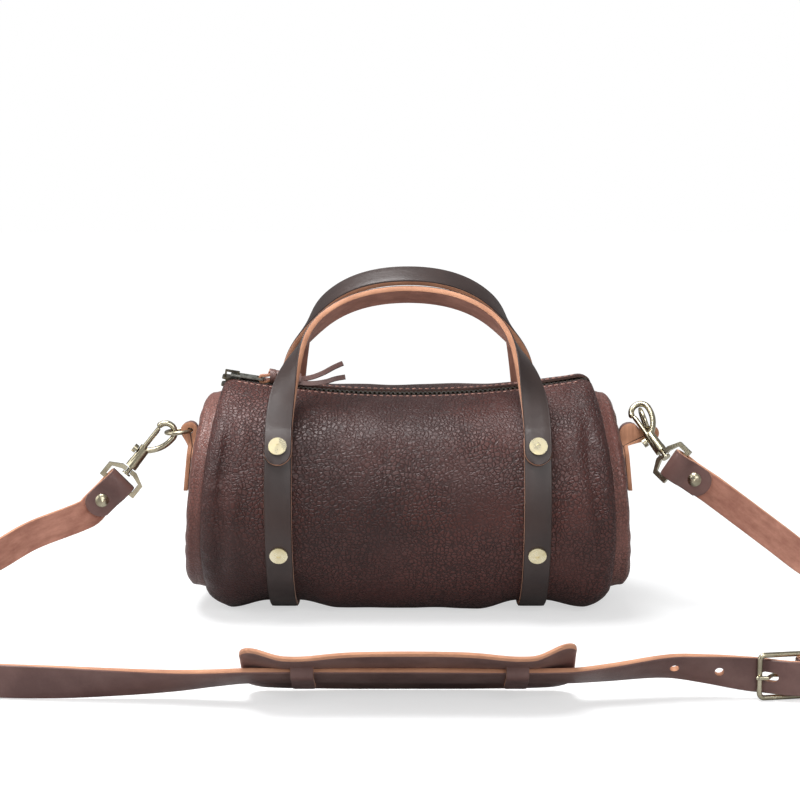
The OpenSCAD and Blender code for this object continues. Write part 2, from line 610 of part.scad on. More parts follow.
module gate() {
    translate([gate_tail, gate_v, 0]) rotate([0, 90, 0]) cylinder(r = gate_r, h = gate_end - gate_tail);
    translate([knob_u, gate_v, 0]) rotate([90, 0, 0]) cylinder(r = stem_r, h = house_r + 2 * stem_gap + knob_t / 2);
    translate([knob_u, gate_v - house_r - 2 * stem_gap, 0]) rotate([90, 0, 0]) cylinder(r = knob_r, h = knob_t);
}
module gate_spring() {
    wire_r = 0.25;
    coil_r = gate_r - wire_r - running_gap;
    turns = 4;
    pitch = (gate_tail - gate_travel - bore_from - 2 * wire_r - fit_gap) / turns;
    steps = 8 * turns;
    translate([bore_from + wire_r + hair, gate_v, 0]) cord(
        [for (i = [0 : steps]) [i * pitch / 8, coil_r * cos(45 * i), coil_r * sin(45 * i)]], wire_r, sides = 4);
}
// Eye: a flat strip bent round the strap, with a yoke hole for the swivel
bar_u = -11.7;
module eye() {
    half = eye_inside_w / 2;
    yoke = 4.6;
    shoulder_u = -4.6;
    outer = [[-eye_gap, yoke], [shoulder_u, half + eye_t], [bar_u - eye_t / 2, half + eye_t]];
    inner = [[-eye_gap - eye_t, yoke - eye_t * 0.4], [shoulder_u - eye_t * 0.3, half], [bar_u + eye_t / 2, half]];
    difference() {
        translate([0, 0, -eye_t / 2]) linear_extrude(eye_t) difference() {
            polygon(concat(outer, [for (i = [2 : -1 : 0]) [outer[i].x, -outer[i].y]]));
            polygon(concat(inner, [for (i = [2 : -1 : 0]) [inner[i].x, -inner[i].y]]));
        }
        translate([-eye_gap - 2 * eye_t, 0, 0]) rotate([0, 90, 0]) cylinder(r = yoke_hole_r, h = 3 * eye_t);
    }
}
module left_hook() { color("#98907c") at_hook(left_collar, left_axis, left_belly) hook(); }
module right_hook() { color("#98907c") at_hook(right_collar, right_axis, right_belly) hook(); }
module left_gate() { color("#7d7665") at_hook(left_collar, left_axis, left_belly) gate(); }
module right_gate() { color("#7d7665") at_hook(right_collar, right_axis, right_belly) gate(); }
module left_gate_spring() { color("silver") at_hook(left_collar, left_axis, left_belly) gate_spring(); }
module right_gate_spring() { color("silver") at_hook(right_collar, right_axis, right_belly) gate_spring(); }
left_bar_dir = unit(cross(left_eye_axis, strap_face(left_pull)));
module left_eye() { color("#98907c") at_hook(left_eye_at, left_eye_axis, left_bar_dir) eye(); }
right_bar_dir = unit(cross(right_eye_axis, strap_face(right_pull)));
module right_eye() { color("#98907c") at_hook(right_eye_at, right_eye_axis, right_bar_dir) eye(); }

// Strap folds: the strap runs round a bar and is riveted to itself
fold_gap = 0.75;
fold_slack = 0.6;
bar_half = eye_t / 2;
lay_h = strap_t / 2 + hair;
flap_l = 21.5;
rivet_back = 12.6;
rivet_flat = 4.2;
// One fold, flap first. The flap lies on the side away from strap_face, or towards it with side -1
function fold(at, d, bar, side = 1) = let (up = strap_up(d), h = strap_face(d) * side, r = bar + strap_t / 2) [
    for (f = concat(
        [[flap_l, -lay_h, 0.5], [flap_l * 0.94, -lay_h, 0.85], [flap_l * 0.82, -lay_h, 1],
         [rivet_back - rivet_flat, -lay_h, 1], [r * 1.2, -r, 1]],
        [for (a = [-75 : 30 : 75]) [-r * cos(a), r * sin(a), 1]],
        [[r * 1.2, r, 1], [rivet_back - rivet_flat, lay_h, 1], [flap_l * 1.1, lay_h, 1]]))
    [at + d * f[0] + h * f[1], up, f[2]]];
function reversed(list) = [for (i = [len(list) - 1 : -1 : 0]) list[i]];
// A stop's width direction: upright, or leaning outwards by its fourth number
function lean_up(t, lean) = let (up = strap_up(t)) up * cos(lean) + cross(t, up) * sin(lean);
function strap_frames(path) = [for (i = [0 : len(path) - 1])
    let (p = path[i], t = unit(path[min(i + 1, len(path) - 1)][0] - path[max(i - 1, 0)][0]),
         w = is_list(p[1]) ? p[1] : lean_up(t, p[1]))
    [p[0], w, unit(cross(t, w)), p[2]]];
function stops(route) = [for (s = route) [[s[0], s[1], s[2]], s[3], 1]];
module strap(frames) {
    skin([for (f = frames) let (a = f[1] * strap_w * f[3] / 2, b = f[2] * strap_t / 2)
        [f[0] - a - b, f[0] - a + b, f[0] + a + b, f[0] + a - b]]);
}

// Routes of the strap on and off the floor: x, y, z and lean
long_route = [
    [-204, -17, 41, 0], [-222, -24, 31, 0], [-240, -36, 22, 0], [-255, -54, 14, 0], [-265, -78, 10, 0],
    [-269, -104, 8.6, 0], [-265, -130, 8.4, 0], [-252, -152, 8.4, 0], [-231, -169, 8.4, 0], [-207, -179, 8.4, 2],
    [-185, -184, 8.4, 5], [-160, -187, 8.6, 12], [-134, -188, 8.8, 27], [-107, -189.5, 9.8, 43],
    [-86, -192.5, 12, 54], [-70, -193.7, 13.3, 57], [0, -193.7, 13.3, 57], [70, -193.7, 13.3, 57], [88, -191, 14, 52],
    [116, -186, 15.6, 40], [134, -184.6, 14, 26], [148, -184.3, 12.2, 10], [155, -184.3, 11.4, 1],
    [159, -184.7, 11.1, 0.5], [163, -186.4, 11, 2], [167, -188, 10.9, 1], [172, -189.2, 10.8, 0], [181, -189.4, 10.8, 0],
    [192, -188.6, 10.8, 0], [204, -188, 10.8, 0], [226, -188, 10.8, 0]
];
short_route = [
    [222, -185, 10.6, 0], [243, -177, 9.2, 0], [262, -160, 8.6, 0], [274, -138, 8.4, 0], [278, -112, 8.4, 0],
    [274, -88, 8.6, 0], [263, -66, 10, 0], [247, -49.5, 14, 0], [230, -39, 20.5, 0], [212, -34, 31, 0],
    [196, -31.5, 43, 0]
];
buckle_at = [157.2, -187.4, 11.1];
buckle_dir = heading(10, 0);
heel_at = buckle_at + buckle_dir * buckle_l;
left_bar_at = left_eye_at + left_eye_axis * bar_u;
right_bar_at = right_eye_at + right_eye_axis * bar_u;
left_fold_at = left_bar_at - left_pull * fold_slack;
right_fold_at = right_bar_at - right_pull * fold_slack;
heel_pull = x_dir;
long_frames = strap_frames(concat(fold(left_fold_at, left_pull, bar_half + fold_gap), stops(long_route),
    [[[232, -188, 10.8], 0, 0.8], [[236, -188, 10.8], 0, 0.35]]));
short_frames = strap_frames(concat(
    fold(heel_at, heel_pull, buckle_r + soft_gap), stops(short_route), reversed(fold(right_fold_at, right_pull, bar_half + fold_gap, -1))));
function at_stop(frames, x) = let (
    hits = [for (i = [1 : len(frames) - 1])
        if (frames[i][0].y < -150 && frames[i - 1][0].x <= x && frames[i][0].x > x) i],
    b = frames[hits[0]], a = frames[hits[0] - 1], t = (x - a[0].x) / (b[0].x - a[0].x))
    [mix(a[0], b[0], t), unit(mix(a[1], b[1], t)), unit(mix(a[2], b[2], t))];
hole_xs = [119.1, 139.5, 181, 201];
prong_hole_x = 160.5;
prong_hole_share = 1.6;
module strap_hole(x, long_share) {
    f = at_stop(long_frames, x);
    place(f[0], cross(f[1], f[2]), f[2]) {
        cylinder(r = hole_r, h = 4 * strap_t, center = true);
        if (long_share > 0) translate([0, -hole_r, -2 * strap_t]) cube([2 * hole_r * long_share, 2 * hole_r, 4 * strap_t]);
    }
}
module strap_long() {
    color("#4f3b38") difference() {
        strap(long_frames);
        for (x = hole_xs) strap_hole(x, 0);
        strap_hole(prong_hole_x, prong_hole_share);
        strap_rivet_places() cylinder(r = strap_pin_r + fit_gap / 2, h = 6 * strap_t, center = true);
    }
}
module strap_short() {
    color("#4f3b38") difference() {
        strap(short_frames);
        strap_rivet_places() cylinder(r = strap_pin_r + fit_gap / 2, h = 6 * strap_t, center = true);
        translate([heel_at.x - 2 * prong_eye_r, heel_at.y - 2 * prong_eye_r, heel_at.z - prong_slot_w / 2])
            cube([3.6 * prong_eye_r, 4 * prong_eye_r, prong_slot_w]);
    }
}

// Strap rivets: a domed head on the flap, a pin through both layers and a flat back
strap_pin_r = 1.5;
dome_h = 1.6;
back_t = 0.7;
module strap_rivet_place(at, d, side) {
    up = strap_up(d);
    place(at + d * rivet_back, up, strap_face(d) * side) children();
}
module strap_rivet_places() {
    strap_rivet_place(left_fold_at, left_pull, -1) children();
    strap_rivet_place(right_fold_at, right_pull, 1) children();
    strap_rivet_place(heel_at, heel_pull, -1) children();
}
module strap_rivet() {
    face = 2 * lay_h - strap_t / 2 + hair * 2;
    top = lay_h + strap_t / 2 + hair;
    translate([0, 0, -top - back_t]) cylinder(r = strap_pin_r, h = 2 * top + back_t + hair);
    translate([0, 0, -top - back_t]) cylinder(r = strap_rivet_r * 0.85, h = back_t);
    dome_r = (strap_rivet_r * strap_rivet_r + dome_h * dome_h) / (2 * dome_h);
    translate([0, 0, top]) intersection() {
        translate([0, 0, dome_h - dome_r]) sphere(dome_r);
        cylinder(r = strap_rivet_r, h = dome_h + overrun);
    }
}
module strap_rivets() { color("#a0916a") strap_rivet_places() strap_rivet(); }

// Buckle: a wire frame whose heel bar sits in the short strap's fold, and a bent prong
prong_r = 0.95;
prong_eye_r = buckle_r + 1.1;
prong_eye_w = 2.2;
prong_slot_w = prong_eye_w + 0.8;
prong_sides = 16;
buckle_half = strap_w / 2 + 2 * soft_gap + buckle_r;
module rod(a, b, r) {
    place(a, abs(unit(b - a).z) > 0.9 ? x_dir : z_dir, b - a) cylinder(r = r, h = norm(b - a));
}
module buckle_frame() {
    bend = 2 * buckle_r;
    high = 2 * (buckle_half - bend);
    color("#98907c") place(buckle_at, buckle_dir, cross(buckle_dir, z_dir)) {
        for (x = [0, buckle_l]) translate([x, 0, 0]) rotate([90, 0, 0]) cylinder(r = buckle_r, h = high, center = true);
        for (y = [-1, 1]) translate([buckle_l / 2, y * buckle_half, 0]) rotate([0, 90, 0])
            cylinder(r = buckle_r, h = buckle_l - 2 * bend, center = true);
        for (k = [0 : 3]) translate([k == 0 || k == 3 ? buckle_l - bend : bend, k < 2 ? high / 2 : -high / 2, 0])
            rotate([0, 0, 90 * k]) rotate_extrude(angle = 90, $fn = 160) translate([bend, 0]) circle(buckle_r, $fn = 64);
    }
}
prong_over = -(buckle_r + prong_r + fit_gap);
prong_reach = 14;
prong_dip = 0.6;
prong_flat = 3;
prong_past = 1.2;
prong_bend_at = heel_at - [prong_reach, prong_dip, 0];
prong_over_at = buckle_at + [prong_flat, prong_over - fit_gap, 0];
prong_tip_at = buckle_at + [-prong_past, prong_over, 0];
module buckle_prong() {
    color("#a49b84") difference() {
        union() {
            translate(heel_at - [0, 0, prong_eye_w / 2]) cylinder(r = prong_eye_r, h = prong_eye_w);
            cord([heel_at, prong_bend_at, prong_over_at, prong_tip_at], prong_r, prong_sides);
            translate(prong_tip_at) sphere(prong_r * tip_share, $fn = prong_sides);
        }
        translate(heel_at - [0, 0, 2 * prong_eye_w]) cylinder(r = buckle_r + running_gap, h = 4 * prong_eye_w);
    }
}

// Keeper: a leather loop round both straps
keeper_x = 213;
keeper_w = 9;
keeper_t = 1.6;
keeper_y = -188;
keeper_z = 10.8;
module keeper() {
    lo = [heel_at.y - lay_h + strap_t / 2, keeper_y - strap_t / 2];
    depth = abs(lo[0] - lo[1]) + 2 * soft_gap;
    mid_y = (lo[0] + lo[1]) / 2;
    high = strap_w + 2 * soft_gap;
    color("#4f3b38") translate([keeper_x, mid_y, keeper_z]) difference() {
        cube([keeper_w, depth + 2 * keeper_t, high + 2 * keeper_t], center = true);
        cube([keeper_w + 2 * overrun, depth, high], center = true);
    }
}

// Shoulder pad: a stiff leather tongue whose two bridges hold the strap in front of it
pad_lean = 57;
pad_foot = [0, -170, 1.2];
pad_up = lean_up(x_dir, pad_lean);
pad_face = cross(x_dir, pad_up);
pad_mid = pad_foot + pad_up * pad_w / 2;
bridge_x = 48;
bridge_l = 11;
pad_end_shares = [[1, 0.45, -0.9], [0.985, 0.7, -0.8], [0.95, 0.86, -0.6], [0.88, 0.95, -0.25], [0.78, 1, 0]];
module shoulder_pad() {
    half = pad_l / 2;
    frames = [for (e = pad_end_shares) [-e[0], e[1], e[2]]];
    all = concat(frames, [for (i = [len(frames) - 1 : -1 : 0]) [-frames[i][0], frames[i][1], frames[i][2]]]);
    tunnel = strap_t + 2 * soft_gap;
    high = strap_w + 2 * soft_gap;
    rings = [for (f = all) let (c = pad_mid + x_dir * half * f[0] + pad_face * 3 * pad_t * f[2],
        a = pad_up * pad_w / 2 * f[1], b = pad_face * pad_t / 2) [c - a - b, c - a + b, c + a + b, c + a - b]];
    color("#563c37") difference() {
        union() {
            skin(rings);
            for (s = [-1, 1]) place(pad_mid + x_dir * s * bridge_x, x_dir, pad_face)
                translate([-bridge_l / 2, -high / 2 - pad_t, 0]) cube([bridge_l, high + 2 * pad_t, tunnel + 1.5 * pad_t]);
        }
        for (s = [-1, 1]) place(pad_mid + x_dir * s * bridge_x, x_dir, pad_face)
            translate([-bridge_l, -high / 2, pad_t / 2 - hair]) cube([2 * bridge_l, high, tunnel + hair]);
    }
}

body_panel();
left_end_panel();
right_end_panel();
zip_tape_front();
zip_tape_back();
zip_teeth_front();
zip_teeth_back();
zip_stops();
zip_slider();
zip_pull();
zip_thong();
left_band();
right_band();
front_handle_ends();
back_handle_ends();
front_handle();
back_handle();
top_rivets();
lower_rivets();
rivet_washers();
left_tab();
right_tab();
left_ring();
right_ring();
left_hook();
right_hook();
left_gate();
right_gate();
left_gate_spring();
right_gate_spring();
left_eye();
right_eye();
strap_long();
strap_short();
strap_rivets();
buckle_frame();
buckle_prong();
keeper();
shoulder_pad();
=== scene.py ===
"""A barrel crossbody bag in pebbled leather, on a white studio floor.

Lengths in the tables and functions are millimetres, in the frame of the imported
model; every mesh is made in metres, and so are the shaders' distances.
"""
import math

import bmesh
import bpy
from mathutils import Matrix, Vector, noise


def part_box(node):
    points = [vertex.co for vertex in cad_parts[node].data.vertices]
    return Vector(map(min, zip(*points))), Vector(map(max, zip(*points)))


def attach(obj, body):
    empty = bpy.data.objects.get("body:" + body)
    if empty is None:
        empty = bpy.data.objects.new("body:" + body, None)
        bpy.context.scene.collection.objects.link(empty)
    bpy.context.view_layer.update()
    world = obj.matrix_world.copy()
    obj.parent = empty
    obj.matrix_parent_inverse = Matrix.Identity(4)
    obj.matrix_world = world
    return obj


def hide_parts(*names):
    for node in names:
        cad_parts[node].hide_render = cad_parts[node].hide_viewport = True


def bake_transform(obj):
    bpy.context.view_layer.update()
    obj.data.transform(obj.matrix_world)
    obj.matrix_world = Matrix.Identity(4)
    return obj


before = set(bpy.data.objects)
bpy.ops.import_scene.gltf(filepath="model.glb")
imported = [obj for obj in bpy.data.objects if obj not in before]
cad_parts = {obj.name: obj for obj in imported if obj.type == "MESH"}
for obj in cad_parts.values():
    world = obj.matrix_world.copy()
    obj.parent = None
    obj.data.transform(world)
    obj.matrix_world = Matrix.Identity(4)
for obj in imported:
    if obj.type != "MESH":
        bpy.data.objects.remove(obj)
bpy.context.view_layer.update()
MM = 0.001
X, Y, Z = Vector((1, 0, 0)), Vector((0, 1, 0)), Vector((0, 0, 1))


def srgb(r, g, b):
    """A colour written as 0 to 255, as the linear colour that the shaders take."""
    return tuple(((c / 255 + 0.055) / 1.055) ** 2.4 if c > 10 else c / 3294.6 for c in (r, g, b)) + (1,)


def put_in_scene(name, data):
    thing = bpy.data.objects.new(name, data)
    bpy.context.collection.objects.link(thing)
    return thing


# ---- camera
PICTURE_PX, FOCAL_PX, SHIFT_PX = 800, 1752, -8
EYE, LOOK_DOWN = (0, -0.950, 0.228), 6.9


def make_camera():
    """In front of the bag, looking slightly down on it."""
    data = bpy.data.cameras.new("camera")
    data.sensor_width = 36
    data.lens = data.sensor_width * FOCAL_PX / PICTURE_PX
    data.shift_x = SHIFT_PX / PICTURE_PX
    data.clip_start, data.clip_end = 0.05, 20
    camera = put_in_scene("camera", data)
    camera.location = EYE
    camera.rotation_euler = (math.radians(90 - LOOK_DOWN), 0, 0)
    bpy.context.scene.camera = camera


# ---- node tools
def new_material(name):
    material = bpy.data.materials.new(name)
    material.use_nodes = True
    tree = material.node_tree
    return material, tree, tree.nodes["Principled BSDF"]


def feed(tree, socket, value):
    """Links a socket to another one, or sets it to a plain value."""
    if isinstance(value, bpy.types.NodeSocket):
        tree.links.new(value, socket)
    else:
        socket.default_value = value


def set_values(tree, node, **values):
    """Feeds a node's sockets and sets its properties; an underscore stands for a socket's space."""
    for key, value in values.items():
        title = key.replace("_", " ")
        if title in node.inputs:
            feed(tree, node.inputs[title], value)
        else:
            setattr(node, key, value)
    return node


def add(tree, kind, **values):
    return set_values(tree, tree.nodes.new("ShaderNode" + kind), **values)


def place_group(tree, group, **values):
    return add(tree, "Group", node_tree=group, **values)


def math_node(tree, operation, a, b, clamp=False):
    node = add(tree, "Math", operation=operation, use_clamp=clamp)
    feed(tree, node.inputs[0], a)
    feed(tree, node.inputs[1], b)
    return node.outputs[0]


def ramp(tree, value, low, high, low_to=0.0, high_to=1.0):
    """Eases from one value to another while the input goes from low to high."""
    return add(tree, "MapRange", interpolation_type="SMOOTHSTEP", Value=value,
               From_Min=low, From_Max=high, To_Min=low_to, To_Max=high_to).outputs["Result"]


def blend_colour(tree, factor, a, b):
    node = add(tree, "Mix", data_type="RGBA")
    for number, value in ((0, factor), (6, a), (7, b)):
        feed(tree, node.inputs[number], value)
    return node.outputs[2]


def two_tone(tree, factor, dark, light):
    return blend_colour(tree, factor, srgb(*dark), srgb(*light))


def new_group(name, inputs, outputs):
    """A shader group; inputs are (name, kind, default), outputs (name, kind)."""
    tree = bpy.data.node_groups.new(name, "ShaderNodeTree")
    for title, kind, value in inputs:
        socket = tree.interface.new_socket(title, in_out="INPUT", socket_type="NodeSocket" + kind)
        if value is not None:
            socket.default_value = value
    for title, kind in outputs:
        tree.interface.new_socket(title, in_out="OUTPUT", socket_type="NodeSocket" + kind)
    return tree, tree.nodes.new("NodeGroupInput"), tree.nodes.new("NodeGroupOutput")


# ---- shared effects
def pebble_group():
    """The pebbled grain of soft leather: rounded cells with creases between them."""
    tree, inp, out = new_group(
        "pebbled_grain",
        [("Vector", "Vector", None), ("Cells per metre", "Float", 480.0), ("Crease", "Float", 0.5)],
        [("Height", "Float"), ("Crease mask", "Float")])
    at, scale = inp.outputs["Vector"], inp.outputs["Cells per metre"]
    warp = add(tree, "TexNoise", Vector=at, Scale=130.0, Detail=3.0)
    crooked = add(tree, "VectorMath", operation="MULTIPLY_ADD")
    for socket, value in zip(crooked.inputs, (warp.outputs["Color"], (0.004, 0.004, 0.004), at)):
        feed(tree, socket, value)
    cells, fine = (
        add(tree, "TexVoronoi", feature="DISTANCE_TO_EDGE", Vector=crooked.outputs[0], Scale=size,
            Randomness=uneven).outputs["Distance"]
        for size, uneven in ((scale, 0.9), (math_node(tree, "MULTIPLY", scale, 2.3), 1.0)))
    patch = add(tree, "TexNoise", Vector=at, Scale=26.0, Detail=2.0)
    strength = ramp(tree, patch.outputs["Fac"], 0.34, 0.62, low_to=0.5)
    dome, crease = ramp(tree, cells, 0.0, 0.2), ramp(tree, cells, 0.0, 0.2, 1.0, 0.0)
    small = ramp(tree, fine, 0.0, 0.22)
    height = math_node(tree, "ADD", math_node(tree, "MULTIPLY", dome, strength),
                       math_node(tree, "MULTIPLY", small, 0.07))
    mask = math_node(tree, "MULTIPLY", math_node(tree, "MULTIPLY", crease, strength), inp.outputs["Crease"])
    set_values(tree, out, Height=height, Crease_mask=mask)
    return tree


def mottle_group():
    """Uneven tone: broad clouds and fine speckle, 0 to 1 about a half."""
    tree, inp, out = new_group(
        "uneven_tone",
        [("Vector", "Vector", None), ("Clouds per metre", "Float", 14.0), ("Speckle", "Float", 0.3)],
        [("Tone", "Float")])
    at = inp.outputs["Vector"]
    clouds = add(tree, "TexNoise", Vector=at, Scale=inp.outputs["Clouds per metre"],
                 Detail=4.0, Roughness=0.55)
    speckle = add(tree, "TexNoise", Vector=at, Scale=900.0, Detail=2.0)
    broad = ramp(tree, clouds.outputs["Fac"], 0.3, 0.7)
    fine = math_node(tree, "MULTIPLY", math_node(tree, "SUBTRACT", speckle.outputs["Fac"], 0.5),
                     inp.outputs["Speckle"])
    set_values(tree, out, Tone=math_node(tree, "ADD", broad, fine, clamp=True))
    return tree


def fibre_group():
    """Packed fibres of a cut edge or a flesh side, drawn out along the strap."""
    tree, inp, out = new_group(
        "leather_fibres",
        [("Vector", "Vector", None), ("Along", "Float", 30.0), ("Across", "Float", 260.0)],
        [("Fibres", "Float")])
    scale = add(tree, "CombineXYZ", X=inp.outputs["Along"], Y=inp.outputs["Across"], Z=200.0)
    stretch = add(tree, "VectorMath", operation="MULTIPLY")
    feed(tree, stretch.inputs[0], inp.outputs["Vector"])
    feed(tree, stretch.inputs[1], scale.outputs[0])
    fibres = add(tree, "TexNoise", Vector=stretch.outputs[0], Scale=1.0, Detail=5.0, Roughness=0.65)
    set_values(tree, out, Fibres=ramp(tree, fibres.outputs["Fac"], 0.25, 0.75))
    return tree


PEBBLE, MOTTLE, FIBRE = pebble_group(), mottle_group(), fibre_group()


def bump(tree, shader, height, distance, strength):
    node = add(tree, "Bump", Height=height, Distance=distance, Strength=strength)
    set_values(tree, shader, Normal=node.outputs["Normal"])


def coordinates(tree, kind="Object"):
    return tree.nodes.new("ShaderNodeTexCoord").outputs[kind]


# ---- materials
def pebbled_leather(name, dark, light, cells=470.0, rough=0.4, depth=0.00042):
    """Soft leather whose grain is duller in its creases, where its colour is also darkened as painted shade.
    """
    material, tree, shader = new_material(name)
    at, painted_crease_shade = coordinates(tree), 0.62
    grain = place_group(tree, PEBBLE, Vector=at, Cells_per_metre=cells, Crease=0.8)
    tone = place_group(tree, MOTTLE, Vector=at, Clouds_per_metre=11.0, Speckle=0.25)
    creases = grain.outputs["Crease mask"]
    # painted shade: the colour in the creases is darkened to 0.62 of the dark tone
    colour = blend_colour(tree, creases, two_tone(tree, tone.outputs["Tone"], dark, light),
                          srgb(*[c * painted_crease_shade for c in dark]))
    roughness = math_node(tree, "ADD", math_node(tree, "MULTIPLY", creases, 0.2), rough)
    set_values(tree, shader, Base_Color=colour, Roughness=roughness, Specular_IOR_Level=0.4)
    bump(tree, shader, grain.outputs["Height"], depth, 0.9)
    return material


def smooth_leather(name, dark, light):
    """Firm strap leather with a fine grain, a little duller where it is darker."""
    material, tree, shader = new_material(name)
    at = coordinates(tree)
    grain = place_group(tree, PEBBLE, Vector=at, Cells_per_metre=1500.0, Crease=0.25)
    tone = place_group(tree, MOTTLE, Vector=at, Clouds_per_metre=30.0, Speckle=0.3).outputs["Tone"]
    set_values(tree, shader, Base_Color=two_tone(tree, tone, dark, light),
               Roughness=ramp(tree, tone, 0.0, 1.0, 0.48, 0.37))
    bump(tree, shader, grain.outputs["Height"], 0.00004, 0.5)
    return material


def raw_leather(name, dark, light, along=60.0, across=700.0, rough=0.72):
    """A cut edge or a flesh side."""
    material, tree, shader = new_material(name)
    fibres = place_group(tree, FIBRE, Vector=coordinates(tree, "UV"), Along=along, Across=across)
    fibres = fibres.outputs["Fibres"]
    tone = place_group(tree, MOTTLE, Vector=coordinates(tree), Clouds_per_metre=45.0, Speckle=0.5)
    mixed = math_node(tree, "ADD", math_node(tree, "MULTIPLY", fibres, 0.55),
                      math_node(tree, "MULTIPLY", tone.outputs["Tone"], 0.45), clamp=True)
    set_values(tree, shader, Base_Color=two_tone(tree, mixed, dark, light), Roughness=rough,
               Sheen_Weight=0.15)
    bump(tree, shader, fibres, 0.00008, 0.6)
    return material


def aged_metal(name, dark, light, rough, clouds=260.0):
    """Plated metal, dull in its darker clouds and finely scratched."""
    material, tree, shader = new_material(name)
    at = coordinates(tree)
    tone = place_group(tree, MOTTLE, Vector=at, Clouds_per_metre=clouds, Speckle=0.3).outputs["Tone"]
    set_values(tree, shader, Base_Color=two_tone(tree, tone, dark, light), Metallic=1.0,
               Roughness=ramp(tree, tone, 0.0, 1.0, rough + 0.14, rough))
    scratches = add(tree, "TexNoise", Vector=at, Scale=2200.0, Detail=2.0)
    bump(tree, shader, scratches.outputs["Fac"], 0.000006, 0.3)
    return material


def woven_tape(name, dark, light):
    material, tree, shader = new_material(name)
    waves = add(tree, "TexWave", Vector=coordinates(tree), Scale=420.0, Distortion=0.6, Detail=1.0)
    waves = waves.outputs["Fac"]
    set_values(tree, shader, Base_Color=two_tone(tree, waves, dark, light), Roughness=0.85, Sheen_Weight=0.3)
    bump(tree, shader, waves, 0.0001, 0.6)
    return material


def waxed_thread(name, dark, light):
    material, tree, shader = new_material(name)
    twist = add(tree, "TexNoise", Vector=coordinates(tree), Scale=1800.0, Detail=1.0).outputs["Fac"]
    set_values(tree, shader, Base_Color=two_tone(tree, twist, dark, light), Roughness=0.6)
    bump(tree, shader, twist, 0.00006, 0.5)
    return material


BODY = pebbled_leather("pebbled_body_leather", (53, 27, 25), (84, 46, 41))
# the end panels' leather is lighter than the body's: partly their own redder colour, partly painted highlight
# where the light grazes the ends
END = pebbled_leather("pebbled_end_leather", (92, 54, 48), (128, 84, 75), 560.0, 0.33, 0.00022)
TRIM = smooth_leather("dark_trim_leather", (44, 33, 31), (60, 47, 44))
STRAP = smooth_leather("strap_leather", (84, 56, 52), (112, 82, 76))
CUT = raw_leather("tan_cut_edge", (158, 106, 78), (208, 152, 118))
FLESH = raw_leather("flesh_side", (136, 86, 70), (188, 134, 114), 90.0, 260.0, 0.8)
FLESH_DARK = raw_leather("body_flesh_side", (74, 46, 38), (100, 66, 54), 90.0, 260.0, 0.85)
DARK_EDGE = raw_leather("dyed_cut_edge", (58, 38, 33), (88, 58, 48))
BRASS = aged_metal("bright_rivet_brass", (222, 208, 164), (246, 236, 204), 0.24, 120.0)
PULL_METAL = aged_metal("grey_pull_metal", (120, 120, 112), (176, 178, 170), 0.3)
OLD_BRASS = aged_metal("antique_brass", (150, 142, 120), (196, 188, 164), 0.2, 60.0)
DARK_BRASS = aged_metal("dark_zip_brass", (58, 54, 46), (112, 104, 88), 0.3)
TAPE = woven_tape("zip_tape_cloth", (26, 19, 17), (52, 40, 36))
THREAD = waxed_thread("seam_thread", (132, 90, 80), (190, 146, 132))

# a strap's three materials: grain side, cut edge, flesh side
STRAP_LEATHER, TRIM_LEATHER = [STRAP, CUT, FLESH], [TRIM, CUT, FLESH]


# ---- mesh tools
def shade_smooth(mesh, sharp):
    """Smooth shading, but crisp where two faces meet at more than sharp degrees."""
    mesh.polygons.foreach_set("use_smooth", [True] * len(mesh.polygons))
    mesh.set_sharp_from_angle(angle=math.radians(sharp))


def turn_outwards(mesh, weld):
    """Joins points closer than weld, in metres, and turns every face of a closed mesh outwards."""
    work = bmesh.new()
    work.from_mesh(mesh)
    if weld:
        bmesh.ops.remove_doubles(work, verts=work.verts, dist=weld)
        bmesh.ops.dissolve_degenerate(work, edges=work.edges, dist=weld)
    bmesh.ops.recalc_face_normals(work, faces=work.faces)
    work.to_mesh(mesh)
    work.free()


def make_piece(name, points, faces, materials, marks=None, uvs=None, sharp=35, weld=0):
    """A closed mesh piece from points in mm; marks is a material number for each face."""
    mesh = bpy.data.meshes.new(name)
    mesh.from_pydata([tuple(Vector(p) * MM) for p in points], [], faces)
    for material in materials:
        mesh.materials.append(material)
    if marks:
        mesh.polygons.foreach_set("material_index", marks)
    if uvs:
        layer = mesh.uv_layers.new(name="UVMap")
        for loop in mesh.loops:
            layer.data[loop.index].uv = uvs[loop.vertex_index]
    shade_smooth(mesh, sharp)
    mesh.validate()
    turn_outwards(mesh, weld)
    return put_in_scene(name, mesh)


def tube_faces(ring, after, n):
    """The faces between two rings of n points, each ring given by its first point's number."""
    return [(ring + k, ring + (k + 1) % n, after + (k + 1) % n, after + k) for k in range(n)]


def hermite(t):
    """The weights of the start, the slope there, the end and the slope there."""
    return 2 * t ** 3 - 3 * t ** 2 + 1, t ** 3 - 2 * t ** 2 + t, 3 * t ** 2 - 2 * t ** 3, t ** 3 - t ** 2


def smooth_stops(stops, step=1.5):
    """A smooth line through stops of (point, width direction, width share), about step mm apart."""
    def slope(k, j):
        a, b = max(k - 1, 0), min(k + 1, len(stops) - 1)
        run = sum((stops[i + 1][0] - stops[i][0]).length for i in range(a, b))
        return (stops[b][j] - stops[a][j]) * (1 / max(run, 1e-6))
    line = []
    for k, (stop, after) in enumerate(zip(stops, stops[1:])):
        run = (after[0] - stop[0]).length
        count = max(1, round(run / step))
        for i in range(count):
            here, leaving, there, arriving = hermite(i / count)
            line.append(tuple(stop[j] * here + slope(k, j) * (leaving * run)
                              + after[j] * there + slope(k + 1, j) * (arriving * run) for j in range(3)))
    line.append(stops[-1])
    return line


def strap_frames(line, outward=1):
    """Adds each point's face direction, which is the grain side: the heading crossed with the width."""
    frames = []
    for k, (point, wide, share) in enumerate(line):
        ahead = (line[min(k + 1, len(line) - 1)][0] - line[max(k - 1, 0)][0]).normalized()
        wide = (wide - ahead * wide.dot(ahead)).normalized()
        frames.append((point, wide, ahead.cross(wide) * outward, share))
    return frames


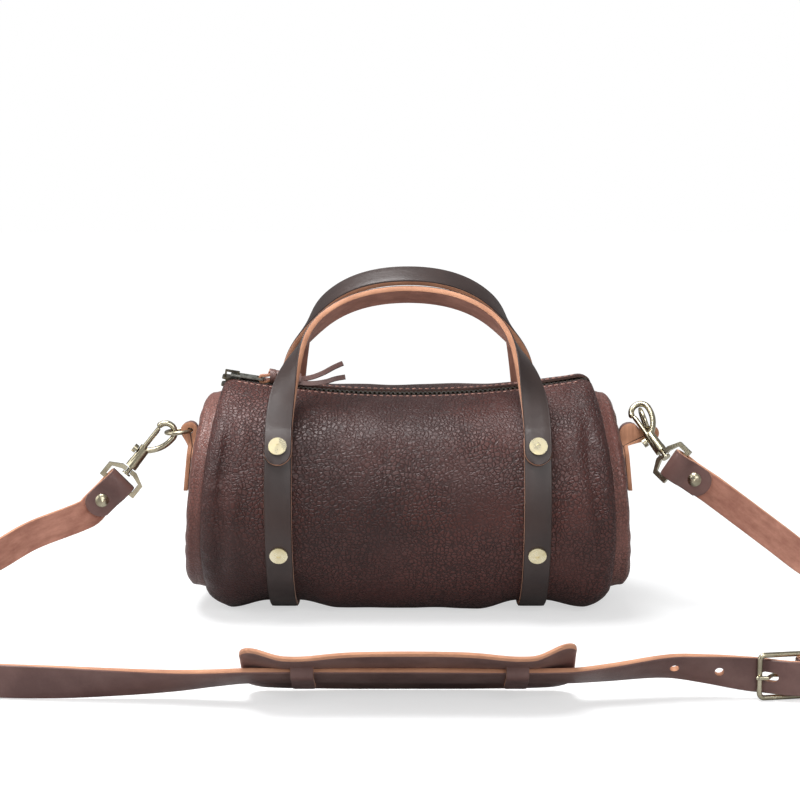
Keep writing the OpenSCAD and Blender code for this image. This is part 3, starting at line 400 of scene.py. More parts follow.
# a strap cut across: shares of its half width and half thickness, and the material of the face that
# follows (0 grain, 1 cut edge, 2 flesh); a pressed line runs beside each rounded edge
SECTION = [
    (-1, 0.0, 1), (-0.985, 0.62, 0), (-0.93, 0.96, 0), (-0.86, 0.93, 0), (-0.8, 1.0, 0), (-0.3, 1.0, 0),
    (0.3, 1.0, 0), (0.8, 1.0, 0), (0.86, 0.93, 0), (0.93, 0.96, 0), (0.985, 0.62, 1), (1, 0.0, 1),
    (0.985, -0.7, 1), (0.94, -1.0, 2), (0.4, -1.0, 2), (-0.4, -1.0, 2), (-0.94, -1.0, 1), (-0.985, -0.7, 1)]
SECTION_MARKS = [mark for _, _, mark in SECTION]
FLESH_UV = 0.05


def sweep_strap(name, frames, width, thick, materials):
    """A leather strap along its frames."""
    points, uvs, faces, marks = [], [], [], []
    n, along = len(SECTION), 0.0
    for k, (point, wide, out, share) in enumerate(frames):
        if k:
            along += (point - frames[k - 1][0]).length * MM
        for across, lift, _ in SECTION:
            points.append(point + wide * (across * width / 2 * share) + out * (lift * thick / 2))
            uvs.append((along, across * width / 2 * MM + (0 if lift > 0 else FLESH_UV)))
    for k in range(len(frames) - 1):
        faces += tube_faces(k * n, (k + 1) * n, n)
        marks += SECTION_MARKS
    faces += [tuple(range(n - 1, -1, -1)), tuple(range((len(frames) - 1) * n, len(frames) * n))]
    return make_piece(name, points, faces, materials, marks + [1, 1], uvs, 40)


def apply_modifiers(piece):
    graph = bpy.context.evaluated_depsgraph_get()
    mesh = bpy.data.meshes.new_from_object(piece.evaluated_get(graph))
    piece.modifiers.clear()
    piece.data = mesh


def punch(piece, places, radius, depth=8):
    """Cuts holes through a strap; places are (point, axis, strap's direction, reach along it)."""
    bpy.context.view_layer.update()
    work, corners = bmesh.new(), 32
    for point, axis, along, reach in places:
        wide = axis.cross(along).normalized()
        low, high = [], []
        for k in range(corners):
            a = 2 * math.pi * k / corners
            p = Vector((math.cos(a), math.sin(a), 0)) * radius
            flat = along * (p.x + (reach if p.x > 0.01 else 0)) + wide * p.y
            low.append(work.verts.new((point + flat - axis * depth) * MM))
            high.append(work.verts.new((point + flat + axis * depth) * MM))
        for k in range(corners):
            j = (k + 1) % corners
            work.faces.new((low[k], low[j], high[j], high[k]))
        work.faces.new(low[::-1])
        work.faces.new(high)
    bmesh.ops.recalc_face_normals(work, faces=work.faces)
    mesh = bpy.data.meshes.new("punch")
    work.to_mesh(mesh)
    work.free()
    mesh.materials.append(CUT)
    cutter = put_in_scene("punch", mesh)
    cut = piece.modifiers.new("punch", "BOOLEAN")
    cut.operation, cut.object, cut.solver = "DIFFERENCE", cutter, "EXACT"
    cut.material_mode = "TRANSFER"
    apply_modifiers(piece)
    bpy.data.objects.remove(cutter)
    bpy.data.meshes.remove(mesh)


def finish_piece(piece, body, slot, *nodes):
    """Says what the piece rides on and the nodes that it stands for; slot, its finish, is not used."""
    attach(piece, body)
    if nodes:
        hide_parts(*nodes)


def unit(*v):
    return Vector(v).normalized()


def heading(azimuth, elevation):
    a, e = math.radians(azimuth), math.radians(elevation)
    return Vector((math.cos(e) * math.cos(a), math.cos(e) * math.sin(a), math.sin(e)))


def in_plane(axis, toward):
    """The part of a direction that is square to an axis."""
    return (toward - axis * toward.dot(axis)).normalized()


def smoothstep(t):
    t = min(1.0, max(0.0, t))
    return t * t * (3 - 2 * t)


def bell(t, middle, width):
    return math.exp(-((t - middle) / width) ** 2)


def wander(point, scale, seed):
    return noise.noise(Vector(point) * scale + Vector((seed, seed * 1.7, -seed)))


def dents(point, *layers):
    """Uneven leather, in layers of (height, waves per mm, seed)."""
    return sum(height * wander(point, scale, seed) for height, scale, seed in layers)


# ---- sizes
# barrel: radius, half its length between the end seams, leather, the same pared beside the zip, how far
# an end domes out and how deep the underside is pressed flat
BODY_R, SEAM_HALF, LEATHER, PARED, BULGE, FLAT = 61, 108.5, 2.4, 1.2, 9, 1.2
# zip: radius of its dip, its height above the axis in the middle, its lean, half its chain, half its slot
# and the thickness of its teeth
ZIP_ARC, ZIP_MID, TILT, CHAIN_HALF, SLOT_HALF, TOOTH_T = 600, 53, math.radians(8), 97, 5, 2.3
# bands and handles: width, thickness, place along the bag, and in degrees up from level the top rivet
# and where the handle leaves the band
BAND_W, BAND_T, BAND_X, RIVET_ANGLE, HANDLE_ANGLE = 14.3, 3.3, 67, 28, 37
STRAP_W, STRAP_T = 15.9, 2.6
HAIR = 0.02     # the space between two leathers that touch
BAND_R = BODY_R + HAIR
AXIS_Z = BAND_R + BAND_T
HANDLE_R = BAND_R + BAND_T + HAIR
AXIS = Vector((0, 0, AXIS_Z))
ZIP_UP = Vector((0, -math.sin(TILT), math.cos(TILT)))
ZIP_FRONT = Vector((0, -math.cos(TILT), -math.sin(TILT)))
ZIP_CENTRE = AXIS + ZIP_UP * (ZIP_MID + ZIP_ARC)

# snap hooks: where the rings hang, each hook's axis and the side of its nose, and the eyes' bars
RING_R, NOSE_U, NOSE_V = 6.8, 26.6, 2.8
LEFT_RING, RIGHT_RING = Vector((-118.7, 0, AXIS_Z + 32.2)), Vector((131.6, 0, AXIS_Z + 30.7))
LEFT_AXIS, RIGHT_AXIS = unit(0.623, 0.114, 0.774), unit(-0.461, 0.588, 0.665)
LEFT_BELLY = in_plane(LEFT_AXIS, Vector((0.774, 0.05, -0.633)))
RIGHT_BELLY = in_plane(RIGHT_AXIS, Vector((0.84, 0.05, 0.54)))
RIGHT_EYE_AXIS = unit(-0.62, 0.51, 0.6)
BAR_U, YOKE_MID, BAR_HALF = -11.7, 2.1, 1.2
# the strap's folds: which way each pulls, its slack on the bar and its gap round it
LEFT_PULL, RIGHT_PULL = unit(-0.71, -0.14, -0.69), unit(0.8, -0.22, -0.53)
FOLD_SLACK, FOLD_GAP, HEEL_GAP = 0.6, 0.75, 0.3


def collar(ring, hang, axis, belly, slip_u, slip_v):
    """Where a hook's collar stands, from the ring that its nose hangs in and how far it has slipped."""
    return ring + hang * 2 * RING_R - axis * (NOSE_U + slip_u) - belly * (NOSE_V + slip_v)


LEFT_COLLAR = collar(LEFT_RING, heading(190.4, -5), LEFT_AXIS, LEFT_BELLY, 0, 0.3)
RIGHT_COLLAR = collar(RIGHT_RING, heading(180, 70), RIGHT_AXIS, RIGHT_BELLY, 1.38, 0.91)
LEFT_FOLD = LEFT_COLLAR + LEFT_AXIS * BAR_U - LEFT_PULL * FOLD_SLACK
RIGHT_FOLD = (RIGHT_COLLAR + (RIGHT_EYE_AXIS - RIGHT_AXIS) * YOKE_MID + RIGHT_EYE_AXIS * BAR_U
              - RIGHT_PULL * FOLD_SLACK)
BUCKLE = Vector((157.2, -187.4, 11.1))
HEEL = BUCKLE + heading(10, 0) * 21


# ---- shoulder strap
# stops along the strap's middle: x, y, z, and its lean from upright in degrees
LONG_ROUTE = [
    (-204, -17, 41, 0), (-222, -24, 31, 0), (-240, -36, 22, 0), (-255, -54, 14, 0), (-265, -78, 10, 0),
    (-269, -104, 8.6, 0), (-265, -130, 8.4, 0), (-252, -152, 8.4, 0), (-231, -169, 8.4, 0),
    (-207, -179, 8.4, 2), (-185, -184, 8.4, 5), (-160, -187, 8.6, 12), (-134, -188, 8.8, 27),
    (-107, -189.5, 9.8, 43), (-86, -192.5, 12, 54), (-70, -193.7, 13.3, 57), (0, -193.7, 13.3, 57),
    (70, -193.7, 13.3, 57), (88, -191, 14, 52), (116, -186, 15.6, 40), (134, -184.6, 14, 26),
    (148, -184.3, 12.2, 10), (155, -184.3, 11.4, 1), (159, -184.7, 11.1, 0.5), (163, -186.4, 11, 2),
    (167, -188, 10.9, 1), (172, -189.2, 10.8, 0), (181, -189.4, 10.8, 0), (192, -188.6, 10.8, 0),
    (204, -188, 10.8, 0), (226, -188, 10.8, 0)]
SHORT_ROUTE = [
    (222, -185, 10.6, 0), (243, -177, 9.2, 0), (262, -160, 8.6, 0), (274, -138, 8.4, 0),
    (278, -112, 8.4, 0), (274, -88, 8.6, 0), (263, -66, 10, 0), (247, -49.5, 14, 0), (230, -39, 20.5, 0),
    (212, -34, 31, 0), (196, -31.5, 43, 0)]
TIP = [(231, 1), (234, 0.9), (236.2, 0.66), (237.2, 0.4), (237.6, 0.14)]    # x, width share
FLAP_TIP = [(-0.1, 0.12), (0.3, 0.38), (1.4, 0.66), (3.2, 0.88), (5.6, 0.99)]    # mm in, width share
FLAP, MEET, RIVETED = 21.5, 8.4, 16.8    # from the bar: the flap's tip, where the layers meet, the rivet
STRAP_HOLES = ((119.1, 0), (139.5, 0), (160.5, 3.8), (181, 0), (201, 0))    # x, reach of the prong's slot
HOLE_R, HEEL_HOLE_R = 2.1, 1.7


def strap_up(d):
    return (Z - d * d.z).normalized()


def fold_stops(at, d, bar_r, side=1):
    """The strap's end round a bar, from the riveted flap to the long side."""
    up, lay, r = strap_up(d), STRAP_T / 2 + HAIR, bar_r + STRAP_T / 2
    out = d.cross(up) * side
    flat = [(FLAP - inwards, -lay, share) for inwards, share in FLAP_TIP]
    flat += [(RIVETED, -lay, 1), (MEET, -lay, 1), (r * 1.2, -r, 1)]
    turn = [(-r * math.cos(math.radians(a)), r * math.sin(math.radians(a)), 1) for a in range(-75, 76, 15)]
    back = [(r * 1.2, r, 1), (MEET, lay, 1), (RIVETED, lay, 1), (FLAP * 1.1, lay, 1)]
    return [(at + d * u + out * v, up, share) for u, v, share in flat + turn + back]


def route_stops(route):
    stops = []
    points = [Vector(s[:3]) for s in route]
    for k, (*_, lean) in enumerate(route):
        t = (points[min(k + 1, len(route) - 1)] - points[max(k - 1, 0)]).normalized()
        up, lean = strap_up(t), math.radians(lean)
        stops.append((points[k], up * math.cos(lean) + t.cross(up) * math.sin(lean), 1))
    return stops


def make_straps():
    """The two lengths of the shoulder strap, folded round the eyes' bars and the buckle's heel bar."""
    tip_stops = [(Vector((x, *LONG_ROUTE[-1][1:3])), Z, share) for x, share in TIP]
    fold_r = BAR_HALF + FOLD_GAP
    long_stops = fold_stops(LEFT_FOLD, LEFT_PULL, fold_r) + route_stops(LONG_ROUTE) + tip_stops
    short_stops = (fold_stops(HEEL, X, BAR_HALF + HEEL_GAP) + route_stops(SHORT_ROUTE)
                   + fold_stops(RIGHT_FOLD, RIGHT_PULL, fold_r, -1)[::-1])
    long_frames = strap_frames(smooth_stops(long_stops))
    long_strap = sweep_strap("strap_long_leather", long_frames, STRAP_W, STRAP_T, STRAP_LEATHER)
    short_frames = strap_frames(smooth_stops(short_stops))
    short_strap = sweep_strap("strap_short_leather", short_frames, STRAP_W, STRAP_T, STRAP_LEATHER)
    holes = []
    front = [f for f in long_frames if f[0].y < -150 and f[0].x > 0]
    for x, reach in STRAP_HOLES:
        point, wide, out, _ = min(front, key=lambda f: abs(f[0].x - x))
        holes.append((point + X * (x - point.x), out, wide.cross(out), reach))
    punch(long_strap, holes, HOLE_R)
    punch(short_strap, [(HEEL, Y, X, 0)], HEEL_HOLE_R, 5)
    for strap, frames, node in ((long_strap, long_frames, "strap_long"),
                                (short_strap, short_frames, "strap_short")):
        finish_piece(strap, "bag", "strap_leather", node)


# ---- body
SAG_REACH = math.radians(48)    # how far from the zip the panel's dip reaches
ROUND_M = 0.37                  # the way round the panel, for its UVs


def spoke(angle):
    """A direction from the barrel's axis, its angle counted from the zip towards the front."""
    return ZIP_UP * math.cos(angle) + ZIP_FRONT * math.sin(angle)


def edge_r(x):
    """How far the zip's edges are from the barrel's axis."""
    return ZIP_MID + ZIP_ARC - math.sqrt(ZIP_ARC ** 2 - x * x) + TOOTH_T / 2 + 0.2 * PARED


def slot_angle(x):
    return math.asin(SLOT_HALF / edge_r(x))


def seam_x(z):
    """Where an end seam lies: from about half way up it leans in, to 0.903 of its reach at the top."""
    s = max(0.0, (z / AXIS_Z - 0.52) / (2 - 0.52))
    return SEAM_HALF * (1 - (1 - 0.903) * s * s)


def floor_share(u):
    """How far the underside sags to the floor: not next to the bands nor at the seams."""
    from_band = (abs(abs(u * SEAM_HALF) - BAND_X) - BAND_W / 2) / 22
    return smoothstep((1 - abs(u)) / 0.12) * smoothstep(from_band)


def seam_fold(u):
    """How deep the rounded edge of the main panel turns in towards its seam."""
    t = min(1.0, max(0.0, (abs(u) - 0.925) / 0.075))
    return 4.8 * (1 - math.sqrt(max(0.0, 1 - t * t)))


def end_fold(x, near, flat):
    """The soft upright fold beside each end seam: a valley and the roll next to it, in mm."""
    from_valley = SEAM_HALF - abs(x) - 9.5 - 5 * wander(flat, 0.02, 4.4)
    reach = smoothstep((near - 0.45) / 0.5) * smoothstep((2.35 - near) / 0.6)
    valley, roll = 2.0 * bell(from_valley, 0, 3.4), 1.5 * bell(from_valley, 7.5, 4.5)
    return reach * (roll - valley) * (1.0 if x < 0 else 0.6)


def wear(r, u, angle, near, gap, flat):
    """The worn outer face: broad dents away from bands, zip and seams, gathers at the seams, the fold."""
    x, from_end = u * SEAM_HALF, 1 - abs(u)
    calm = smoothstep((near - gap * 1.2) / 0.3) * smoothstep(from_end / 0.12)
    calm *= min(1.0, max(0.0, abs(abs(x) - BAND_X) / 14 - 0.5))
    r += calm * dents(flat, (1.0, 0.022, 3.1), (0.6, 0.055, 8.4))
    gathered = bell(from_end * SEAM_HALF, 5, 7) * smoothstep((near - gap) / 0.35)
    ripple = 0.25 * math.sin(angle * 31 + 5 * wander(flat, 0.03, 2.2))
    r += gathered * (ripple + 1.3 * wander(flat, 0.05, 6.6))
    return r + end_fold(x, near, flat)


def body_surface(u, angle_share, inner):
    """A point of the main panel: u runs from end to end, angle_share from lip to lip round the underside."""
    x = u * SEAM_HALF
    gap = slot_angle(x)
    angle = gap + (2 * math.pi - 2 * gap) * angle_share
    near = min(angle, 2 * math.pi - angle)
    sag = max(0.0, 1 - (near / SAG_REACH) ** 2) ** 2
    r = BODY_R + (edge_r(x) - BODY_R) * sag - seam_fold(u)
    direction = spoke(angle)
    if not inner:
        r = wear(r, u, angle, near, gap, Vector((x, direction.y * r, direction.z * r)))
    down, share = -direction.z, floor_share(u)
    if down > 0.5:
        low = (BODY_R - FLAT) * (1 - share) + (AXIS_Z - 0.15) * share
        r = min(r + share * 4.2 * smoothstep((down - 0.5) / 0.45), low / down)
    if inner:
        r -= PARED + (LEATHER - PARED) * smoothstep((near - gap) / (2 * gap))
    point = AXIS + direction * r
    return Vector((u * seam_x(point.z), point.y, point.z))


def make_body():
    """The main panel: outer and inner face, cut along both lips of the zip and round both ends."""
    around, long_ways = 200, 150
    shares = [-1 + 2 * i / long_ways for i in range(long_ways + 1)]
    points, faces, marks, uvs = [], [], [], []
    for u in [math.copysign(1 - (1 - abs(s)) ** 1.25, s) for s in shares]:
        for inner in (False, True):
            for k in range(around + 1):
                points.append(body_surface(u, k / around, inner))
                uvs.append((u * SEAM_HALF * MM, k / around * ROUND_M))
    row = around + 1
    ring = 2 * row
    for i in range(long_ways):
        for k in range(around):
            a = i * ring + k
            b = a + row
            faces += [(a, a + ring, a + ring + 1, a + 1), (b, b + 1, b + ring + 1, b + ring)]
            marks += [0, 2]
        for a in (i * ring, i * ring + around):
            faces.append((a, a + row, a + row + ring, a + ring))
            marks.append(1)
    for i in (0, long_ways):
        for a in range(i * ring, i * ring + around):
            faces.append((a, a + 1, a + row + 1, a + row))
            marks.append(1)
    body = make_piece("body_leather", points, faces, [BODY, DARK_EDGE, FLESH_DARK], marks, uvs, 50)
    finish_piece(body, "bag", "body_leather", "body_panel")


END_R = BODY_R - FLAT - LEATHER


def end_dome(s):
    return math.sqrt(max(0.0, 1 - s ** 5))


def end_x(z, dome):
    """How far out a plain end panel stands: on its seam with no dome, on its face with a full one."""
    return seam_x(z) * (1 - dome) + (SEAM_HALF + BULGE - 0.1 * (z - AXIS_Z)) * dome


def end_surface(s, angle, inset):
    """A point of an end panel: s runs from 0 in its middle to 1 at its seam."""
    r = s * (END_R - inset) - 3.6 * smoothstep((s - 0.9) / 0.1)
    y, z = -r * math.sin(angle), AXIS_Z + r * math.cos(angle)
    dome = end_dome(s)
    x = end_x(z, dome) - inset * dome + 0.15
    if inset == 0:
        at = (y, z, 0)
        x += 0.9 * dome * (dents(at, (1, 0.03, 5.2), (0.5, 0.08, 1.3)) - 0.9)
        x += 0.3 * dome * smoothstep((s - 0.6) / 0.3) * math.sin(angle * 23 + 6 * wander(at, 0.03, 9.1))
        rolled = 0.7 + 0.5 * wander(at, 0.025, 3.3)
        x += rolled * (1.2 * bell(s, 0.86, 0.055) - 0.7 * bell(s, 0.74, 0.05))
    return Vector((x, y, z))


def make_end(name, side, node):
    """A domed end panel: its outer face from seam to middle, then its inner face back to the seam."""
    turns, rings = 128, 46
    shares = [1 - (i / rings) ** 1.9 * 0.98 for i in range(rings + 1)]
    points, faces, uvs = [], [], []
    for inset, order in ((0, shares), (LEATHER, shares[::-1])):
        for s in order:
            for k in range(turns):
                x, y, z = end_surface(s, 2 * math.pi * k / turns, inset)
                points.append(Vector((x * side, y, z)))
                uvs.append((y * MM, z * MM))
    half = rings + 1
    for i in (*range(rings), *range(half, half + rings)):
        faces += tube_faces(i * turns, (i + 1) * turns, turns)
    faces += tube_faces((2 * half - 1) * turns, 0, turns)
    faces += [tuple(range(i * turns, (i + 1) * turns)) for i in (rings, half)]
    finish_piece(make_piece(name, points, faces, [END], None, uvs, 60), "bag", "body_leather", node)


def make_stitches():
    """The lines of stitching beside the zip, one short waxed stitch after another."""
    sewn_half, from_slot, pitch, length, radius, sides = 101, 2.6, 3.8, 2.5, 0.36, 8
    stitch = ((-0.5, 0.25, -0.14), (-0.4, 0.85, 0.06), (0, 1, 0.06), (0.4, 0.85, 0.06), (0.5, 0.25, -0.14))
    for name, side in (("front_zip_stitches", 1), ("back_zip_stitches", -1)):
        points, faces = [], []
        for i in range(int(2 * sewn_half / pitch)):
            for t, scale, lift in stitch:
                x = -sewn_half + pitch * (i + 0.5) + t * length
                gap, angle = slot_angle(x), math.asin((SLOT_HALF + from_slot) / edge_r(x))
                share = (angle - gap) / (2 * math.pi - 2 * gap)
                on = body_surface(x / SEAM_HALF, share if side > 0 else 1 - share, False)
                out = spoke(angle * side)
                wide = X.cross(out).normalized()
                for k in range(sides):
                    a = 2 * math.pi * k / sides
                    points.append(on + out * (lift + radius * scale * math.sin(a))
                                  + wide * (radius * scale * math.cos(a)))
            first, last = i * len(stitch) * sides, (i + 1) * len(stitch) * sides
            for ring in range(first, last - sides, sides):
                faces += tube_faces(ring, ring + sides, sides)
            faces += [tuple(range(first + sides - 1, first - 1, -1)), tuple(range(last - sides, last))]
        finish_piece(make_piece(name, points, faces, [THREAD], None, None, 60), "bag", "body_leather")


# ---- bands and handles
def radial(angle, side):
    a = math.radians(angle)
    return Vector((0, side * math.cos(a), math.sin(a)))


def round_share(distance):
    """How wide a strap is at a distance from the tip of its half-round end."""
    r = BAND_W / 2
    return 1 if distance >= r else max(0.12, math.sqrt(max(0.0, 1 - ((r - distance) / r) ** 2)))


def make_bands():
    """The leather bands round the barrel, whose two ends lie under the handles' top rivets."""
    last = 90 + RIVET_ANGLE + math.degrees(math.asin(BAND_W * 0.4 / BAND_R))
    steps, r = 180, BAND_R + BAND_T / 2
    for name, x, node in (("left_band_leather", -BAND_X, "left_band"),
                          ("right_band_leather", BAND_X, "right_band")):
        frames = []
        for k in range(steps + 1):
            a = math.radians(-last + 2 * last * k / steps)
            out = Vector((0, math.sin(a), -math.cos(a)))
            frames.append((Vector((x, 0, AXIS_Z)) + out * r, X, out, 1))
        finish_piece(sweep_strap(name, frames, BAND_W, BAND_T, TRIM_LEATHER), "bag", "trim_leather", node)


def bezier(c, t):
    return c[0] * (1 - t) ** 3 + 3 * c[1] * t * (1 - t) ** 2 + 3 * c[2] * t * t * (1 - t) + c[3] * t ** 3


def bezier_slope(c, t):
    return 3 * (c[1] - c[0]) * (1 - t) ** 2 + 6 * (c[2] - c[1]) * t * (1 - t) + 3 * (c[3] - c[2]) * t * t


def handle_half(side, top, top_y):
    """Frames of the left half of a handle, from its rounded end to the top."""
    frames = []
    middle, r = Vector((-BAND_X, 0, AXIS_Z)), HANDLE_R + BAND_T / 2
    low = RIVET_ANGLE - 1.7 - math.degrees(math.asin(BAND_W / 2 / HANDLE_R))
    laid_steps, arch_steps = 22, 48
    for k in range(laid_steps + 1):
        angle = low + (HANDLE_ANGLE - low) * (k / laid_steps) ** 1.4
        out = radial(angle, side)
        frames.append((middle + out * r, X, out, round_share(math.radians(angle - low) * r)))
    foot = middle + radial(HANDLE_ANGLE, side) * r
    arch = [Vector((-BAND_X * reach, foot.y + (top_y - foot.y) * back, foot.z + (top - foot.z) * rise))
            for reach, back, rise in ((1, 0, 0), (0.97, 0.52, 0.56), (0.75, 0.95, 1), (0, 1, 1))]
    tilt = math.radians(32)
    for k in range(1, arch_steps + 1):
        t = k / arch_steps
        tangent = bezier_slope(arch, t).normalized()
        early, late = 1 - (1 - min(1, t / 0.6)) ** 2, smoothstep((t - 0.04) / 0.56)
        turn = math.radians(90 * (0.25 * early + 0.75 * late))
        wish = Vector((math.cos(turn), side * math.cos(tilt) * math.sin(turn),
                       math.sin(tilt) * math.sin(turn)))
        wide = in_plane(tangent, wish)
        frames.append((bezier(arch, t), wide, wide.cross(tangent) * -side, 1))
    return frames


def make_handles():
    """Both handles, from rivet to rivet; their leather bends between its rivets and the arch."""
    flip = Vector((-1, 1, 1))
    for name, side, top, top_y, nodes, body in (
            ("front_handle_leather", -1, 171.5, -12, ("front_handle", "front_handle_ends"),
             "front_handle_body"),
            ("back_handle_leather", 1, 180.5, 8, ("back_handle", "back_handle_ends"), "back_handle_body")):
        left = handle_half(side, top, top_y)
        right = [(p * flip, w * flip, o * flip, s) for p, w, o, s in left[-2::-1]]
        handle = sweep_strap(name, left + right, BAND_W, BAND_T, TRIM_LEATHER)
        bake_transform(handle)
        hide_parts(*nodes)


# ---- tabs
TAB_T, TAB_FOOT, TAB_JOIN, TAB_LOOP_R, TAB_TOP_HALF = 2.4, 64.0, AXIS_Z + 24, 4.7, 3.2
TAB_CLIMB = [TAB_FOOT, 70.0, 76.0, 82.0, TAB_JOIN]
TAPER_CUTS = (80.0, 83.5, 85.0, 86.5, 88.0, 89.5, 91.0, 92.5)    # rows of points where it narrows
# how each tab comes back from its ring to the end panel: distance out, height
LEFT_CROWN = [(120.6, 101.0), (119.2, 101.4), (117.6, 101.2), (116.2, 100.4), (115.2, 99.0), (114.9, 97.0)]
RIGHT_CROWN = [(132.0, 98.3), (129.0, 96.9), (126.8, 96.9), (125.6, 98.4), (124.0, 99.9), (122.0, 100.6),
               (119.8, 100.5), (117.8, 99.6), (116.4, 98.2), (115.6, 96.4)]


def tab_x(z):
    """How far out the end panel stands behind a tab."""
    return end_x(z, end_dome(abs(z - AXIS_Z) / END_R)) + 0.17


def tab_half_width(z, ring_z):
    narrowing = smoothstep((z - TAB_JOIN + 4.8) / (ring_z - TAB_JOIN))
    return BAND_W / 2 - (BAND_W / 2 - TAB_TOP_HALF) * narrowing


def tab_outline(ring, crown):
    """The folded tab from the side: two layers with a slit between them up to the ring's hole."""
    slit, hole_r, gap_turn, hole_corners = 0.22, 1.6, math.radians(9), 24
    out, z = abs(ring.x), ring.z
    line = [(tab_x(h) + 2 * TAB_T, h) for h in TAB_CLIMB]
    for turn in range(-30, 61, 10):
        a = math.radians(turn)
        line.append((out + 0.7 + TAB_LOOP_R * math.cos(a), z + TAB_LOOP_R * math.sin(a)))
    line += crown
    line += [(tab_x(h), h) for h in TAB_CLIMB[::-1]]
    line += [(tab_x(h) + TAB_T - slit, h) for h in TAB_CLIMB]
    foot_turn = math.atan2(TAB_JOIN - z, tab_x(TAB_JOIN) + TAB_T - out)
    for k in range(hole_corners + 1):
        a = foot_turn - gap_turn - (2 * math.pi - 2 * gap_turn) * k / hole_corners
        line.append((out + 0.25 + hole_r * math.cos(a), z + hole_r * math.sin(a)))
    return line + [(tab_x(h) + TAB_T + slit, h) for h in TAB_CLIMB[::-1]]


def make_tabs():
    """Each tab is its outline drawn across 2 mm, cut in rows and then spread to its tapering width."""
    grain, cut, flesh = 0, 1, 2
    for name, ring, side, node, crown in (
            ("left_tab_leather", LEFT_RING, -1, "left_tab", LEFT_CROWN),
            ("right_tab_leather", RIGHT_RING, 1, "right_tab", RIGHT_CROWN)):
        work = bmesh.new()
        corners = [work.verts.new((x * side * MM, -MM, z * MM)) for x, z in tab_outline(ring, crown)]
        grown = bmesh.ops.extrude_face_region(work, geom=[work.faces.new(corners)])["geom"]
        for corner in grown:
            if isinstance(corner, bmesh.types.BMVert):
                corner.co.y = MM
        bmesh.ops.triangulate(work, faces=work.faces[:])
        for z in TAPER_CUTS:
            bmesh.ops.bisect_plane(work, geom=work.verts[:] + work.edges[:] + work.faces[:],
                                   plane_co=(0, 0, z * MM), plane_no=(0, 0, 1))
        for corner in work.verts:
            corner.co.y *= tab_half_width(corner.co.z / MM, ring.z)
        bmesh.ops.recalc_face_normals(work, faces=work.faces[:])
        spread = work.loops.layers.uv.new("UVMap")
        for face in work.faces:
            middle = face.calc_center_median() / MM
            inside = abs(abs(middle.x) - tab_x(middle.z) - TAB_T) < 0.6 and middle.z < TAB_JOIN
            edge = abs(face.normal.y) > 0.5 or middle.z < TAB_FOOT + 0.1
            face.material_index = cut if edge else flesh if inside else grain
            for corner in face.loops:
                corner[spread].uv = (corner.vert.co.z, corner.vert.co.x + corner.vert.co.y)
        mesh = bpy.data.meshes.new(name)
        work.to_mesh(mesh)
        work.free()
        for material in STRAP_LEATHER:
            mesh.materials.append(material)
        tab = put_in_scene(name, mesh)
        rounded = tab.modifiers.new("worn edges", "BEVEL")
        rounded.width, rounded.segments = 0.3 * MM, 2
        rounded.limit_method, rounded.angle_limit = "ANGLE", math.radians(50)
        bpy.context.view_layer.update()
        apply_modifiers(tab)
        shade_smooth(tab.data, 50)
        finish_piece(tab, "bag", "tab_leather", node)


def make_gate_tips():
    """The front end of each snap hook's plunger, which meets the nose when it is shut."""
    profile = [(24.2, 0.0), (24.2, 1.25), (25.6, 1.25), (26.1, 1.1), (26.35, 0.7), (26.4, 0.0)]
    turns, gate_v = 32, -1.45
    for name, at, axis, belly, body in (
            ("left_gate_tip", LEFT_COLLAR, LEFT_AXIS, LEFT_BELLY, "left_gate_body"),
            ("right_gate_tip", RIGHT_COLLAR, RIGHT_AXIS, RIGHT_BELLY, "right_gate_body")):
        cross = axis.cross(belly)
        points, faces = [], []
        for u, r in profile:
            for k in range(turns):
                a = 2 * math.pi * k / turns
                points.append(at + axis * u + belly * (gate_v + r * math.cos(a)) + cross * (r * math.sin(a)))
        for i in range(len(profile) - 1):
            faces += tube_faces(i * turns, (i + 1) * turns, turns)
        finish_piece(make_piece(name, points, faces, [OLD_BRASS], weld=1e-6), body, "hardware")


# ---- shoulder pad
PAD_L, PAD_W, PAD_T, BRIDGE_X, BRIDGE_W = 148, 53, 2.4, 48, 10.2
PAD_LEAN = math.radians(57)
PAD_UP = Z * math.cos(PAD_LEAN) - Y * math.sin(PAD_LEAN)
PAD_FACE = X.cross(PAD_UP)
PAD_MID = Vector((0, -170, 1.2)) + PAD_UP * (PAD_W / 2)


def pad_lift(x, v):
    """How far the pad stands away from the strap, in mm; v runs from -1 at the foot to 1 at the top edge."""
    u = abs(x) / (PAD_L / 2)
    ends = 6.0 * smoothstep((u - 0.72) / 0.28)
    waist, middle = bell(abs(x), BRIDGE_X, 15), bell(x, 0, 26)
    top = smoothstep((v + 0.2) / 1.2)
    left = 0.55 if x < 0 else 1.0
    return ends * (0.12 + 0.88 * top * left) + top * (0.4 * middle - 1.6 * waist - 1.2)


def pad_half_width(u):
    """The half width of the pad's outline at a share of its half length."""
    u, corner = abs(u), 0.14
    if u < 1 - corner:
        return 1 - 0.05 * smoothstep((u - 0.3) / 0.5)
    t = (u - (1 - corner)) / corner
    return 0.95 - 0.42 * (1 - math.sqrt(max(0.0, 1 - t * t)))


